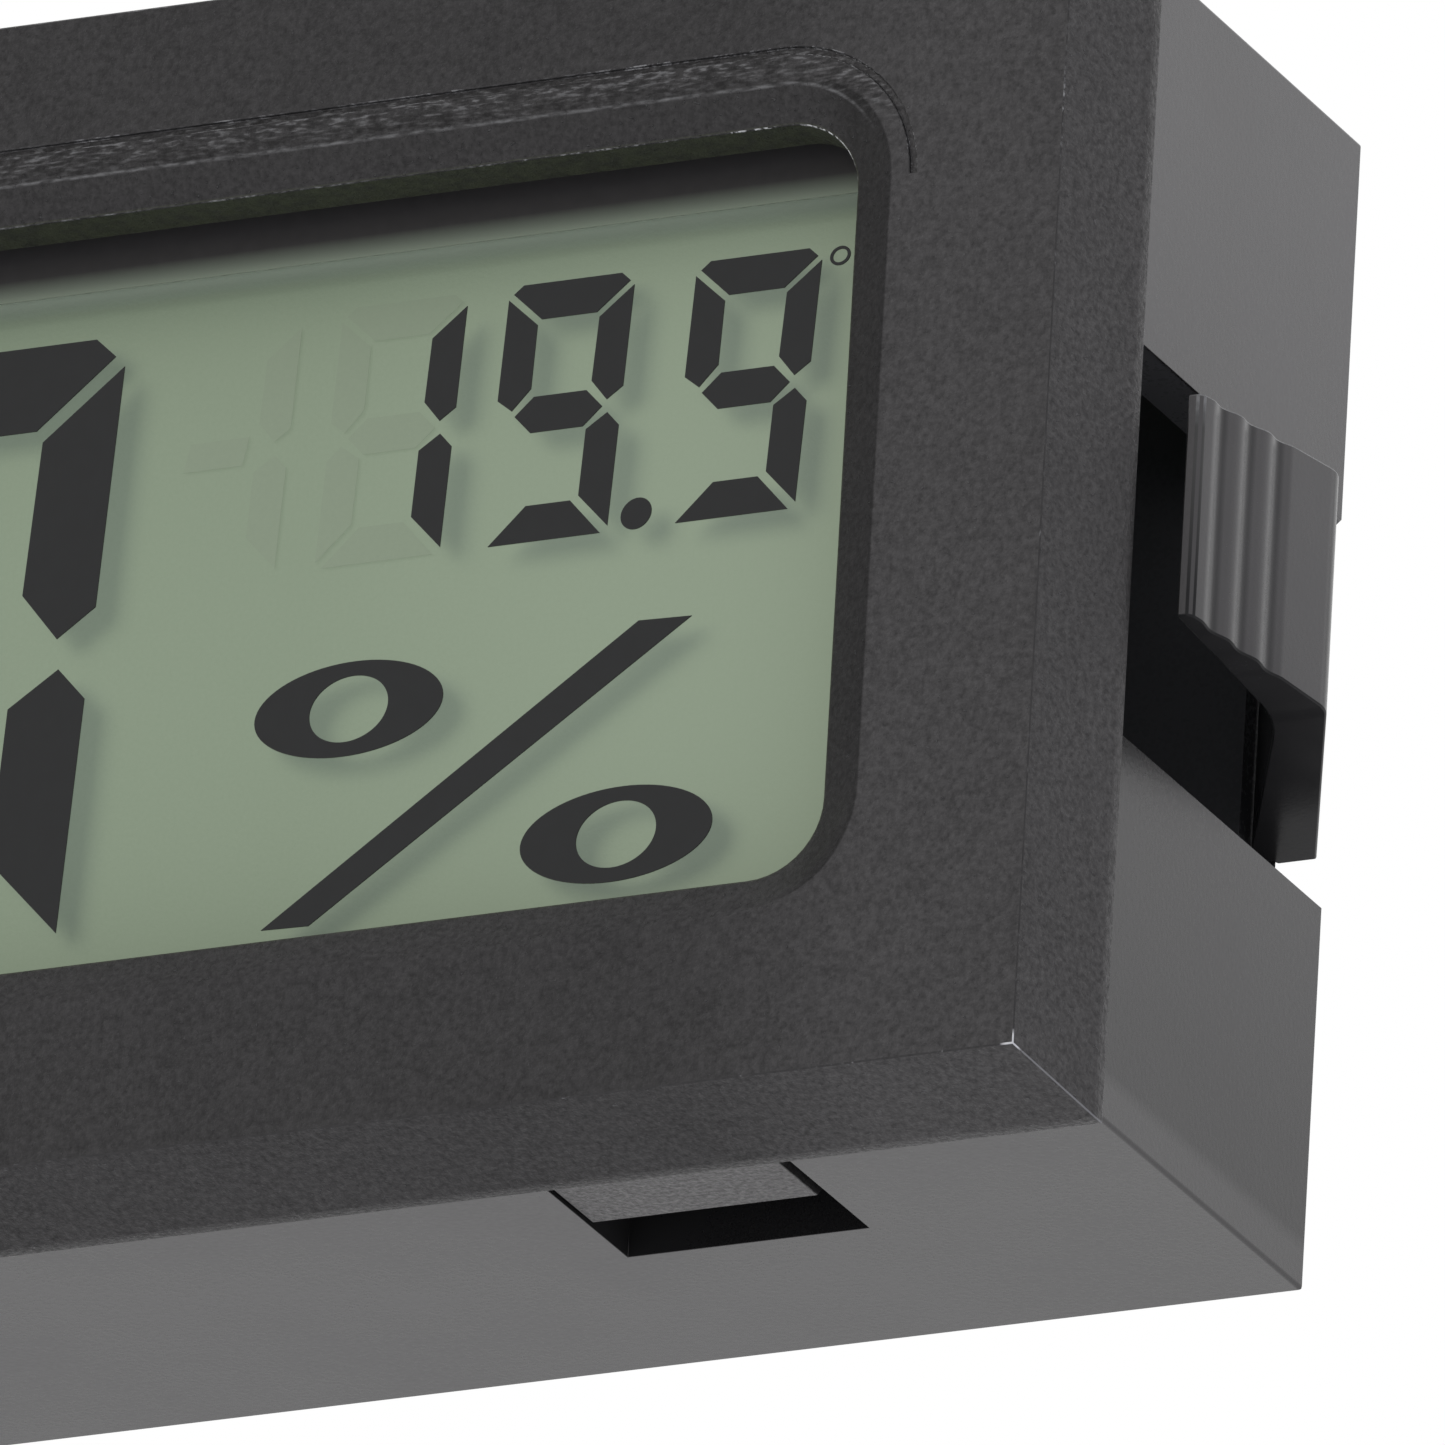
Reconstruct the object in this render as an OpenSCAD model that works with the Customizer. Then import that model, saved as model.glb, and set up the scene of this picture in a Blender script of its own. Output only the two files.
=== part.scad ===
// Panel-mount digital thermo-hygrometer, in millimetres.
// X runs to the right as seen from the front, Y runs to the rear, Z runs up.
// The origin lies mid-depth, at the middle of the width and level with the lowest edge.
// Modules draw with Y = 0 on the front face and Z = 0 at mid-height; place() shifts them.

/* [Housing] */
// Width of the housing, which passes through the panel cut-out
housing_w = 46; // [44:0.5:54]
// Height of the housing
housing_h = 26.6; // [25.5:0.1:32]
// Wall thickness of the housing
wall = 1.2; // [1:0.1:1.5]
// Radius of the housing's long edges
edge_r = 0.1; // [0.1:0.05:0.8]
// Chamfer round the housing's back
back_chamfer = 0.35; // [0.1:0.05:0.6]
// Half-height of the notch in each side wall
notch_hh = 4.5; // [3.8:0.1:5.5]

/* [Bezel] */
// Width of the flange by which the bezel stands past the housing
flange = 1.0; // [0.8:0.1:3]
// Thickness of the bezel
bezel_t = 2.5; // [2.4:0.1:3.2]
// Inset of the outer bevel, seen from the front
bevel_in = 1.0; // [0.3:0.1:1.8]
// Depth over which the outer bevel runs
bevel_d = 2.1; // [1:0.1:2.3]

/* [Window] */
// Lap of the bezel over the display's side edges
lap_side = 0.5; // [0.3:0.1:1.5]
// Lap of the bezel over the display's top and bottom edges
lap_top = 1.5; // [1.2:0.1:2.5]
// Height of the window's centre above the bezel's centre
window_up = 0.1; // [0:0.1:0.3]
// Corner radius of the window
window_r = 1.7; // [0.8:0.1:3]
// Width of the sloping rim round the window
rim_in = 1.0; // [0.4:0.1:1.3]
// Depth of the sloping rim
rim_d = 0.5; // [0.2:0.1:0.9]
// Distance from the rim to the fine moulded line round it
line_off = 0.45; // [0.3:0.05:0.6]
// Width of the fine moulded line
line_w = 0.16; // [0.1:0.02:0.24]
// Depth of the fine moulded line
line_d = 0.08; // [0.04:0.02:0.15]

/* [Spring clips] */
// How far the clip's first tooth stands out past the housing
clip_front_out = 2.15; // [1.6:0.05:2.6]
// How far the clip's crest stands out past the housing
clip_crest_out = 2.9; // [2.3:0.05:3.4]
// Gap between the bezel and the clip's tip
clip_tip_gap = 0.65; // [0.4:0.05:0.8]
// Room inside the housing's side that the bent clip sweeps
clip_room = 3.8; // [3.6:0.1:4.4]
// Distance from the clip's tip to its first groove
first_tooth = 0.95; // [0.8:0.05:1.5]
// Number of grooves that cut the grip into teeth
clip_grooves = 3; // [2:1:4]
// Distance from one groove to the next
groove_pitch = 1.1; // [0.8:0.02:1.3]
// Depth of each groove
groove_d = 0.1; // [0.04:0.01:0.2]
// Length of the last, wide tooth up to the crest
crest_len = 2.2; // [1.4:0.05:2.4]
// Thickness of the clip arm
arm_t = 1.15; // [0.8:0.05:1.4]
// Half-height of the clip's tip
tip_hh = 2.55; // [2:0.05:3]
// Half-height of the clip arm at its crest
arm_hh = 2.75; // [2:0.05:3.2]
// Thickness of the clip's tip
tip_t = 0.35; // [0.3:0.05:0.6]
// Half-height of the clip arm at its root
root_hh = 3.2; // [2.7:0.1:3.6]
// Radius of the clip's rounded root
root_r = 0.6; // [0.4:0.05:0.7]
// Distance of the root's centre inside the housing's side
root_in = 0.95; // [0.9:0.05:1.4]
// How far the clip's flat end stands out past the root's centre
heel_out = 0.6; // [0.5:0.05:0.8]
// Clearance round the clip's root
root_gap = 0.1; // [0.08:0.01:0.15]

/* [Snap hooks] */
// Distance of each hook from the middle
hook_x = 12.75; // [11:0.25:14.5]
// Width of the slot that each hook sits in
slot_w = 5.7; // [4:0.1:7]
// Length of the slot from the bezel
slot_len = 6.3; // [5.2:0.1:6.8]
// Length of the hook from the bezel
hook_len = 4.7; // [4.2:0.1:5]
// Gap between a hook and the sides of its slot
hook_gap = 0.2; // [0.15:0.05:0.4]
// Shift of the hooks to the left in their slots
hook_shift = 0.12; // [0:0.02:0.12]
// Set-back of the hook's face from the housing's face
hook_sink = 0.05; // [0:0.05:0.3]
// Length of the ears that catch inside the wall
ear_len = 1.9; // [1.2:0.1:2.2]
// Reach of the ears beyond each side of the hook
ear_side = 1.1; // [0.8:0.1:1.3]
// Thickness of the ears
ear_t = 0.5; // [0.4:0.05:0.7]
// Gap between an ear and what it catches
ear_gap = 0.05; // [0.03:0.01:0.1]
// Length of the catch that each ear snaps behind
catch_len = 1.0; // [0.6:0.1:1.2]

/* [Display] */
// Depth of the display's face behind the front face
display_d = 1.6; // [1.2:0.1:1.8]
// Thickness of each display glass
glass_t = 0.7; // [0.5:0.05:0.75]
// Thickness of the front polarising film
film_t = 0.2; // [0.15:0.05:0.3]
// Thickness of the reflector behind the glass
reflector_t = 0.2; // [0.15:0.05:0.3]
// Height of the contact ledge along the top of the front glass
ledge_h = 1.8; // [1.5:0.1:2]
// Clearance between the display and what frames it
display_gap = 0.1; // [0.05:0.05:0.2]

/* [Display frame] */
// Space between the frame and the housing's top and bottom walls
frame_top_gap = 1.0; // [0.8:0.1:1.3]
// Thickness of the frame's side walls
frame_side = 0.7; // [0.5:0.1:1]
// Thickness of the frame's top and bottom walls
frame_top = 0.9; // [0.7:0.1:1.2]
// Thickness of the frame behind the display
frame_back = 2.0; // [1.6:0.1:2.6]
// Height of the bars that back the display
frame_bar = 3.2; // [2.6:0.1:4]
// Thickness of the rubber contact strip
strip_t = 1.2; // [1:0.05:1.3]
// Distance from the rubber contact strip's ends to the ends of the display
strip_end = 1.5; // [1:0.1:4]

/* [Circuit board] */
// Thickness of the circuit board
board_t = 1.0; // [0.6:0.1:1.2]
// Clearance between the board and the housing
board_gap = 0.3; // [0.2:0.05:0.4]
// Distance of the screws from the inside of the side walls
screw_side = 1.35; // [1.3:0.05:1.5]
// Distance of the screws from the inside of the top and bottom walls
screw_top = 2.2; // [2:0.1:2.6]
// Radius of the screw posts
post_r = 1.1; // [1:0.05:1.15]
// Radius of the screw shank
shank_r = 0.55; // [0.4:0.05:0.6]
// Radius of the screw head
head_r = 1.05; // [0.9:0.05:1.1]
// Height of the screw head
head_t = 0.6; // [0.4:0.05:0.8]
// Running clearance round the screw shank
screw_gap = 0.1; // [0.05:0.01:0.15]

/* [Batteries] */
// Diameter of a button cell
cell_dia = 11.6; // [10.8:0.1:11.8]
// Thickness of a button cell
cell_t = 5.4; // [3.6:0.1:5.6]
// Space between the cells' bay and the inside of the top wall
bay_top = 0.8; // [0.7:0.05:1]
// Space between the circuit board and the bay's floor
bay_gap = 1.13; // [1.1:0.01:2]
// Gap between the two cells
cell_apart = 0.2; // [0.1:0.05:0.5]
// Clearance between a cell and the wall of its bay
cell_gap = 0.2; // [0.1:0.05:0.3]
// Wall thickness of the bay
bay_wall = 0.7; // [0.6:0.05:0.9]
// Gap between the cells and the door
door_cell_gap = 0.05; // [0.03:0.01:0.1]
// Height by which the bent contacts lift the cells off the bay's floor
contact_lift = 0.15; // [0.1:0.05:0.3]
// Thickness of the contact metal
contact_t = 0.25; // [0.15:0.05:0.3]
// Width of a contact strip
contact_w = 3.2; // [2:0.1:4]
// Length of a contact under its cell
contact_len = 5; // [3.5:0.1:5.5]

/* [Battery door] */
// Running clearance of the door in its track
door_gap = 0.08; // [0.05:0.01:0.1]
// Thickness of the door's side tongues
tongue_t = 0.4; // [0.3:0.05:0.5]
// Reach of the door's side tongues
tongue_w = 0.6; // [0.4:0.05:0.8]
// Number of grip grooves in the door
grip_count = 5; // [3:1:7]
// Distance between grip grooves
grip_pitch = 1.2; // [0.9:0.1:1.6]
// Length of a grip groove
grip_len = 9; // [6:0.5:12]
// Width of a grip groove
grip_w = 0.5; // [0.3:0.05:0.7]
// Depth of a grip groove
grip_d = 0.3; // [0.1:0.05:0.4]

/* [Vents] */
// Distance of the top vent slot below the top of the bay
vent_drop = 1.6; // [0.5:0.1:2.5]
// Number of vent slots
vent_count = 7; // [4:1:8]
// Distance between vent slots
vent_pitch = 2.0; // [1.6:0.1:2.2]
// Length of a vent slot
vent_len = 9; // [6:0.5:10]
// Width of a vent slot
vent_w = 1.0; // [0.6:0.1:1.2]

/* [Sensors and small parts] */
// Width of the humidity sensor's plate
sensor_w = 6; // [4:0.5:8]
// Height of the humidity sensor's plate
sensor_h = 8; // [6:0.5:9]
// Thickness of the humidity sensor's plate
sensor_t = 0.6; // [0.4:0.1:1]
// Gap between the sensor's plate and the vented wall
sensor_back = 1.4; // [1:0.1:2]
// Width of a sensor lead
lead_w = 0.45; // [0.3:0.05:0.6]
// Distance between the two leads of a sensor
lead_pitch = 2.54; // [2:0.02:3]
// Radius of the temperature bead
bead_r = 0.9; // [0.6:0.05:1.2]
// Depth of the temperature bead's centre behind the board
bead_off = 4.0; // [2.5:0.1:5]
// Radius of the sealed chip's dome
blob_r = 3.6; // [2.5:0.1:4]
// Height of the sealed chip's dome
blob_h = 1.0; // [0.6:0.1:1]
// Radius of the clock crystal's can
crystal_r = 1.0; // [0.7:0.05:1.2]
// Length of the clock crystal's can
crystal_len = 6.0; // [5:0.1:8]
// Radius of the clock crystal's two wires
wire_r = 0.15; // [0.1:0.01:0.2]
// Length of the clock crystal's wires before they turn down
wire_len = 1.6; // [1:0.1:2]
// Height of the lower row of parts above the board's lower edge
row_up = 2.4; // [1.8:0.1:3]
// Length of a chip resistor
resistor_l = 1.6; // [1:0.1:2]
// Width of a chip resistor
resistor_w = 0.8; // [0.5:0.1:1]
// Thickness of a chip resistor
resistor_t = 0.45; // [0.3:0.05:0.6]
// Distance between chip resistors
resistor_pitch = 1.5; // [1.2:0.1:1.8]
// Number of chip resistors
resistor_count = 6; // [3:1:7]
// Length of a chip capacitor
capacitor_l = 2.0; // [1.6:0.1:2.4]
// Width of a chip capacitor
capacitor_w = 1.25; // [0.8:0.05:1.6]
// Thickness of a chip capacitor
capacitor_t = 0.8; // [0.5:0.1:1]
// Distance between chip capacitors
capacitor_pitch = 2.1; // [1.8:0.1:2.4]

/* [Hidden] */
$fn = 48;
eps = 0.02;

side = housing_w / 2;                       // outer face of the side wall
roof = housing_h / 2;                       // outer face of the top wall
inner_w = housing_w - 2 * wall;
inner_h = housing_h - 2 * wall;
bezel_w = housing_w + 2 * flange;
bezel_h = housing_h + 2 * flange;

// across: display frame inside the clips' room, glass inside the frame, window inside the glass
clear_side = side - clip_room;
frame_w = 2 * clear_side;
glass_w = frame_w - 2 * frame_side;
window_w = glass_w - 2 * lap_side;
frame_h = inner_h - 2 * frame_top_gap;
glass_h = frame_h - 2 * frame_top;
window_h = glass_h - 2 * lap_top;
rear_glass_h = glass_h - ledge_h;
strip_len = glass_w - 2 * strip_end;

// front to back: display, frame, board, battery bay, cells, door
film_d0 = display_d;
glass1_d0 = film_d0 + film_t;
glass2_d0 = glass1_d0 + glass_t;
reflector_d0 = glass2_d0 + glass_t;
stack_d1 = reflector_d0 + reflector_t;
board_d = stack_d1 + frame_back;
board_d1 = board_d + board_t;
floor_d0 = board_d1 + bay_gap;
floor_d1 = floor_d0 + bay_wall;
cell_d0 = floor_d1 + contact_t + contact_lift;
cell_d1 = cell_d0 + cell_t;
back_in = cell_d1 + door_cell_gap - door_gap;   // inner face of the back wall
total_d = back_in + wall;                       // 15.2 as drawn

// spring clip, right-hand side
root_x = side - root_in;
root_y = total_d - root_r;
tip_y = bezel_t + clip_tip_gap;
groove_y0 = tip_y + first_tooth;
crest_y = groove_y0 + (clip_grooves - 1) * groove_pitch + crest_len;
front_x = side + clip_front_out;
crest_x = side + clip_crest_out;
nose = 0.12;                                // chamfer of the clip's tip
crest_bend = 0.3;                           // length of the bend on each side of the crest
heel_in = root_r / 2;                       // reach of the clip's flat end inside the root's centre
grip_slope = (crest_x - front_x) / (crest_y - tip_y);
heel_slope = (root_x + heel_out - crest_x) / (total_d - crest_y);
function grip_x(y) = front_x + grip_slope * (y - tip_y);
function groove_y(i) = groove_y0 + i * groove_pitch;

// hooks
hook_w = slot_w - 2 * hook_gap;
hook_y1 = bezel_t + hook_len;
ear_y0 = hook_y1 - ear_len;
ear_reach = wall + ear_gap + ear_t;         // depth of the ears below the outer face

// circuit board
board_w = inner_w - 2 * board_gap;
board_h = housing_h - 2 * (ear_reach + board_gap / 2);
waist_hh = notch_hh + board_gap;
screw_x = inner_w / 2 - screw_side;
screw_z = inner_h / 2 - screw_top;

// batteries
cell_r = cell_dia / 2;
cell_pitch = cell_dia + cell_apart;
bay_r = cell_r + cell_gap;
bay_x = -clear_side + bay_wall + bay_r + cell_pitch / 2;
bay_z = inner_h / 2 - bay_top - bay_r;
slot_gap = 0.25;                            // clearance round a contact's leg in the floor
door_x0 = bay_x - cell_pitch / 2 - bay_r - bay_wall / 2;
door_x1 = bay_x + cell_pitch / 2 + bay_r + bay_wall / 2;
door_z0 = bay_z - bay_r - bay_wall / 2;
tongue_d0 = total_d - wall / 2 - tongue_t / 2;

// vents and the sensor behind them, between the door's track and the right-hand clip
vent_x = (door_x1 + tongue_w + clear_side) / 2;
vent_z = bay_z + bay_r - vent_drop - vent_w / 2 - (vent_count - 1) / 2 * vent_pitch;
sensor_d1 = back_in - sensor_back;

// places of the small parts on the board
row_z = -board_h / 2 + row_up;
dome_x = bay_x - cell_r + 1.4;
dome_z = row_z + blob_r - 1;
crystal_x = dome_x + blob_r + 2 * wire_len + 1.8;
resistor_x = bay_x + cell_r;
resistor_z = bay_z - bay_r - bay_wall - 1.5 - resistor_l / 2;
capacitor_x = vent_x - sensor_w / 2;
strip_z = window_up + glass_h / 2 - ledge_h / 2;   // middle of the display's contact ledge

// ---------- shared shapes ----------

module place() { translate([0, -total_d / 2, bezel_h / 2]) children(); }

// extrude an (x, z) outline along Y, a (y, z) outline along X and an (x, y) outline along Z
module along_y(d0, d1) {
    translate([0, d1, 0]) rotate([90, 0, 0]) linear_extrude(d1 - d0) children();
}
module along_x(x0, x1) {
    translate([x0, 0, 0]) rotate([90, 0, 90]) linear_extrude(x1 - x0) children();
}
module along_z(z0, z1) {
    translate([0, 0, z0]) linear_extrude(z1 - z0) children();
}

module rounded_rect(w, h, r) {
    square([w - 2 * r, h], center = true);
    square([w, h - 2 * r], center = true);
    for (sx = [-1, 1], sz = [-1, 1])
        translate([sx * (w / 2 - r), sz * (h / 2 - r)]) circle(r);
}

module block(x0, x1, d0, d1, z0, z1) {
    translate([x0, d0, z0]) cube([x1 - x0, d1 - d0, z1 - z0]);
}

module four_corners(x, z) {
    for (sx = [-1, 1], sz = [-1, 1]) translate([sx * x, 0, sz * z]) children();
}

module post(r, d0, d1) {
    translate([0, d0, 0]) rotate([-90, 0, 0]) cylinder(r = r, h = d1 - d0);
}

// ---------- bezel ----------

module bezel_body() {
    hw = bezel_w / 2;
    hh = bezel_h / 2;
    intersection() {
        along_z(-hh, hh)
            polygon([[-hw + bevel_in, 0], [hw - bevel_in, 0], [hw, bevel_d], [hw, bezel_t],
                     [-hw, bezel_t], [-hw, bevel_d]]);
        along_x(-hw, hw)
            polygon([[0, -hh + bevel_in], [bevel_d, -hh], [bezel_t, -hh],
                     [bezel_t, hh], [bevel_d, hh], [0, hh - bevel_in]]);
    }
}

// window cutter: straight walls with a rim that flares towards the front
module window_cut() {
    cx = window_w / 2 - window_r;
    cz = window_h / 2 - window_r;
    flare_d = rim_d + eps;
    flare_in = rim_in * flare_d / rim_d;
    translate([0, 0, window_up]) {
        along_y(-1, bezel_t + 1) rounded_rect(window_w, window_h, window_r);
        four_corners(cx, cz)
            translate([0, -eps, 0]) rotate([-90, 0, 0])
                cylinder(r1 = window_r + flare_in, r2 = window_r, h = flare_d);
        along_x(-cx, cx)
            polygon([[-eps, -cz - window_r - flare_in], [rim_d, -cz - window_r],
                     [rim_d, cz + window_r], [-eps, cz + window_r + flare_in]]);
        along_z(-cz, cz)
            polygon([[-cx - window_r - flare_in, -eps], [cx + window_r + flare_in, -eps],
                     [cx + window_r, rim_d], [-cx - window_r, rim_d]]);
    }
}

module rim_line() {
    grow = 2 * (rim_in + line_off);
    r = window_r + rim_in + line_off;
    // only along the top and round the top corners
    translate([0, 0, window_up]) along_y(-1, line_d) intersection() {
        difference() {
            rounded_rect(window_w + grow + 2 * line_w, window_h + grow + 2 * line_w, r + line_w);
            rounded_rect(window_w + grow, window_h + grow, r);
        }
        translate([-bezel_w, window_h / 2 - window_r]) square([2 * bezel_w, bezel_h]);
    }
}

// one snap hook, drawn for the bottom wall at the middle of the width
module snap_hook() {
    out = -roof;
    end_chamfer = 0.35;
    along_x(-hook_w / 2, hook_w / 2)
        polygon([[bezel_t - eps, out + hook_sink], [hook_y1 - end_chamfer, out + hook_sink],
                 [hook_y1, out + hook_sink + end_chamfer], [hook_y1, out + wall],
                 [bezel_t - eps, out + wall]]);
    // ears, which slope off towards the hook's end
    for (part = [[hook_w / 2, wall - eps], [hook_w / 2 + ear_side, wall + ear_gap]])
        along_x(-part[0], part[0])
            polygon([[ear_y0, out + part[1]], [hook_y1, out + part[1]],
                     [hook_y1, out + wall + ear_gap + 0.15],
                     [hook_y1 - 0.8, out + ear_reach], [ear_y0, out + ear_reach]]);
}

module at_hooks() {
    for (sx = [-1, 1]) translate([sx * hook_x, 0, 0]) {
        children();
        mirror([0, 0, 1]) children();
    }
}

module front_bezel() {
    color("#3c3c40") place() difference() {
        union() {
            bezel_body();
            four_corners(screw_x, screw_z) post(post_r, bezel_t - eps, board_d);
            at_hooks() translate([-hook_shift, 0, 0]) snap_hook();
        }
        window_cut();
        rim_line();
        // seat of the display in the bezel's back
        block(-glass_w / 2 - display_gap, glass_w / 2 + display_gap, display_d, bezel_t + eps,
              window_up - glass_h / 2 - display_gap, window_up + glass_h / 2 + display_gap);
        four_corners(screw_x, screw_z) post(shank_r, display_d, board_d + eps);
    }
}

// ---------- housing ----------

module housing_outline() {
    intersection() {
        along_y(bezel_t, total_d) rounded_rect(housing_w, housing_h, edge_r);
        along_z(-roof, roof)
            polygon([[-side, bezel_t], [side, bezel_t], [side, total_d - back_chamfer],
                     [side - back_chamfer, total_d], [-side + back_chamfer, total_d],
                     [-side, total_d - back_chamfer]]);
        along_x(-side, side)
            polygon([[bezel_t, -roof], [total_d - back_chamfer, -roof],
                     [total_d, -roof + back_chamfer], [total_d, roof - back_chamfer],
                     [total_d - back_chamfer, roof], [bezel_t, roof]]);
    }
}

module bay_outline(grow) {
    for (sx = [-1, 1])
        translate([bay_x + sx * cell_pitch / 2, bay_z]) circle(bay_r + grow);
    translate([bay_x, bay_z]) square([cell_pitch, bay_r + 2 * grow], center = true);
}

// slots in the bay's floor that let the contacts reach the board
module contact_slots() {
    for (sx = [-1, 1])
        translate([contact_leg_x(sx), 0, bay_z]) mirror([sx + 1, 0, 0])
            block(-slot_gap, contact_t + slot_gap, floor_d0 - eps, floor_d1 + eps,
                  -contact_w / 2 - slot_gap, contact_w / 2 + slot_gap);
}

// catches for one hook's ears, drawn for the bottom wall
module hook_catches() {
    for (sx = [-1, 1])
        translate([sx * (slot_w / 2 + ear_side / 2), 0, 0])
            along_x(-ear_side / 2 + 0.1, ear_side / 2 - 0.1)
                polygon([[ear_y0 - ear_gap - catch_len, -roof + wall - eps],
                         [ear_y0 - ear_gap, -roof + wall - eps],
                         [ear_y0 - ear_gap, -roof + ear_reach],
                         [ear_y0 - ear_gap - 0.3, -roof + ear_reach]]);
}

module side_notch() {
    seat = root_r + root_gap;
    block(root_x - seat, bezel_w, bezel_t - eps, root_y, -notch_hh, notch_hh);
    block(root_x - root_gap, bezel_w, root_y - eps, total_d + eps, -notch_hh, notch_hh);
    translate([root_x, root_y, -notch_hh]) cylinder(r = seat, h = 2 * notch_hh);
}

module door_track(gap) {
    block(door_x0 - gap, door_x1 + gap, back_in - eps, total_d + eps, door_z0 - gap, roof + 1);
    block(door_x0 - tongue_w - gap, door_x1 + tongue_w + gap,
          tongue_d0 - gap, tongue_d0 + tongue_t + gap, door_z0 - gap, roof + 1);
}

module rear_housing() {
    color("#6e6e72") place() difference() {
        union() {
            difference() {
                housing_outline();
                along_y(bezel_t - eps, back_in)
                    rounded_rect(inner_w, inner_h, edge_r);
            }
            intersection() {
                housing_outline();
                along_y(floor_d0, back_in) bay_outline(bay_wall);
            }
            at_hooks() hook_catches();
        }
        along_y(floor_d1, total_d + eps) bay_outline(0);
        contact_slots();
        side_notch();
        mirror([1, 0, 0]) side_notch();
        at_hooks()
            block(-slot_w / 2, slot_w / 2, bezel_t - eps, bezel_t + slot_len,
                  -roof - eps, -roof + wall + eps);
        door_track(0);
        translate([vent_x, 0, vent_z]) for (i = [0 : vent_count - 1])
            translate([0, 0, (i - (vent_count - 1) / 2) * vent_pitch])
                along_y(back_in - eps, total_d + eps)
                    rounded_rect(vent_len, vent_w, vent_w / 2 - 0.02);
    }
}

// ---------- spring clips ----------

// rounded waves: t runs from -0.5 to 0.5 over each groove, from ridge to ridge
wave_steps = 10;
function wave(t) = groove_d * (1 + cos(360 * t)) / 2;

function bend(a, b, c, steps) = [for (i = [0 : steps]) let (t = i / steps)
    (1 - t) * (1 - t) * a + 2 * t * (1 - t) * b + t * t * c];

function clip_outline() = concat(
    [[front_x - tip_t, tip_y], [front_x - nose, tip_y], [front_x, tip_y + nose]],
    [for (i = [0 : clip_grooves - 1], k = [0 : wave_steps - 1])
        let (t = k / wave_steps - 0.5, y = groove_y(i) + t * groove_pitch)
        [grip_x(y) - wave(t), y]],
    bend([crest_x - grip_slope * crest_bend, crest_y - crest_bend], [crest_x, crest_y],
         [crest_x + heel_slope * crest_bend, crest_y + crest_bend], 6),
    [[root_x + heel_out, total_d], [root_x - heel_in, total_d], [root_x - root_r, root_y],
     [root_x - root_r * cos(30), root_y - root_r * sin(30)]],
    bend([crest_x - arm_t - 0.55, crest_y + 0.95], [crest_x - arm_t - 0.05, crest_y],
         [crest_x - arm_t - 0.1, crest_y - 1], 6));

// the arm widens in straight lines from its tip to its crest and on to the back
module clip_arm() {
    intersection() {
        union() {
            along_z(-root_hh, root_hh) polygon(clip_outline());
            translate([root_x, root_y, -root_hh]) cylinder(r = root_r, h = 2 * root_hh);
        }
        along_x(0, bezel_w)
            polygon([[tip_y - 1, -tip_hh], [tip_y, -tip_hh], [crest_y, -arm_hh],
                     [total_d, -root_hh], [total_d + 1, -root_hh], [total_d + 1, root_hh],
                     [total_d, root_hh], [crest_y, arm_hh], [tip_y, tip_hh], [tip_y - 1, tip_hh]]);
    }
}

module right_clip_arm() { color("#737377") place() clip_arm(); }
module left_clip_arm() { color("#737377") place() mirror([1, 0, 0]) clip_arm(); }

// ---------- battery door ----------

module battery_door() {
    color("#68686c") place() difference() {
        intersection() {
            housing_outline();
            union() {
                block(door_x0 + door_gap, door_x1 - door_gap, back_in + door_gap, total_d,
                      door_z0 + door_gap, roof);
                block(door_x0 - tongue_w + door_gap, door_x1 + tongue_w - door_gap,
                      tongue_d0 + door_gap / 2, tongue_d0 + tongue_t - door_gap / 2,
                      door_z0 + door_gap, roof);
            }
        }
        // pocket for the bridge contact
        bridge_plate(eps);
        for (i = [0 : grip_count - 1])
            translate([bay_x, 0, bay_z + (i - (grip_count - 1) / 2) * grip_pitch])
                block(-grip_len / 2, grip_len / 2, total_d - grip_d, total_d + eps,
                      -grip_w / 2, grip_w / 2);
    }
}

module bridge_plate(grow) {
    d0 = back_in + door_gap;
    along_y(d0 - grow, d0 + contact_t) translate([bay_x, bay_z])
        rounded_rect(cell_pitch + contact_len, contact_w, 1);
}

module bridge_contact() { color("#c9c6bd") place() bridge_plate(0); }

// ---------- display ----------

module display_plate(w, h, d0, t, up) {
    translate([0, 0, window_up + up]) block(-w / 2, w / 2, d0, d0 + t, -h / 2, h / 2);
}

module lcd_front_film() {
    color("#8a9285") place()
        display_plate(glass_w - 0.4, glass_h - 0.4, film_d0, film_t, 0);
}
module lcd_front_glass() {
    color("#aab4a6") place() display_plate(glass_w, glass_h, glass1_d0, glass_t, 0);
}
module lcd_rear_glass() {
    color("#a2ac9e") place()
        display_plate(glass_w, rear_glass_h, glass2_d0, glass_t, -ledge_h / 2);
}
module lcd_reflector() {
    color("#b9bfae") place()
        display_plate(glass_w - 0.4, rear_glass_h - 0.4, reflector_d0, reflector_t, -ledge_h / 2);
}

module lcd_frame() {
    seat_w = glass_w + 2 * display_gap;
    low = window_up - glass_h / 2;
    color("#d8d8d4") place() difference() {
        block(-frame_w / 2, frame_w / 2, bezel_t, board_d,
              window_up - frame_h / 2, window_up + frame_h / 2);
        // seat of the display, then the opening between the two backing bars
        block(-seat_w / 2, seat_w / 2, bezel_t - eps, stack_d1,
              low - display_gap, low + rear_glass_h + display_gap);
        block(-seat_w / 2, seat_w / 2, bezel_t - eps, glass2_d0,
              low - display_gap, low + glass_h + display_gap);
        block(-seat_w / 2 + 1, seat_w / 2 - 1, stack_d1 - eps, board_d + eps,
              low + frame_bar, low + rear_glass_h - frame_bar);
        // slot for the contact strip
        block(-strip_len / 2 - display_gap, strip_len / 2 + display_gap,
              bezel_t - eps, board_d + eps,
              strip_z - strip_t / 2 - display_gap, strip_z + strip_t / 2 + display_gap);
    }
}

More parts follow.
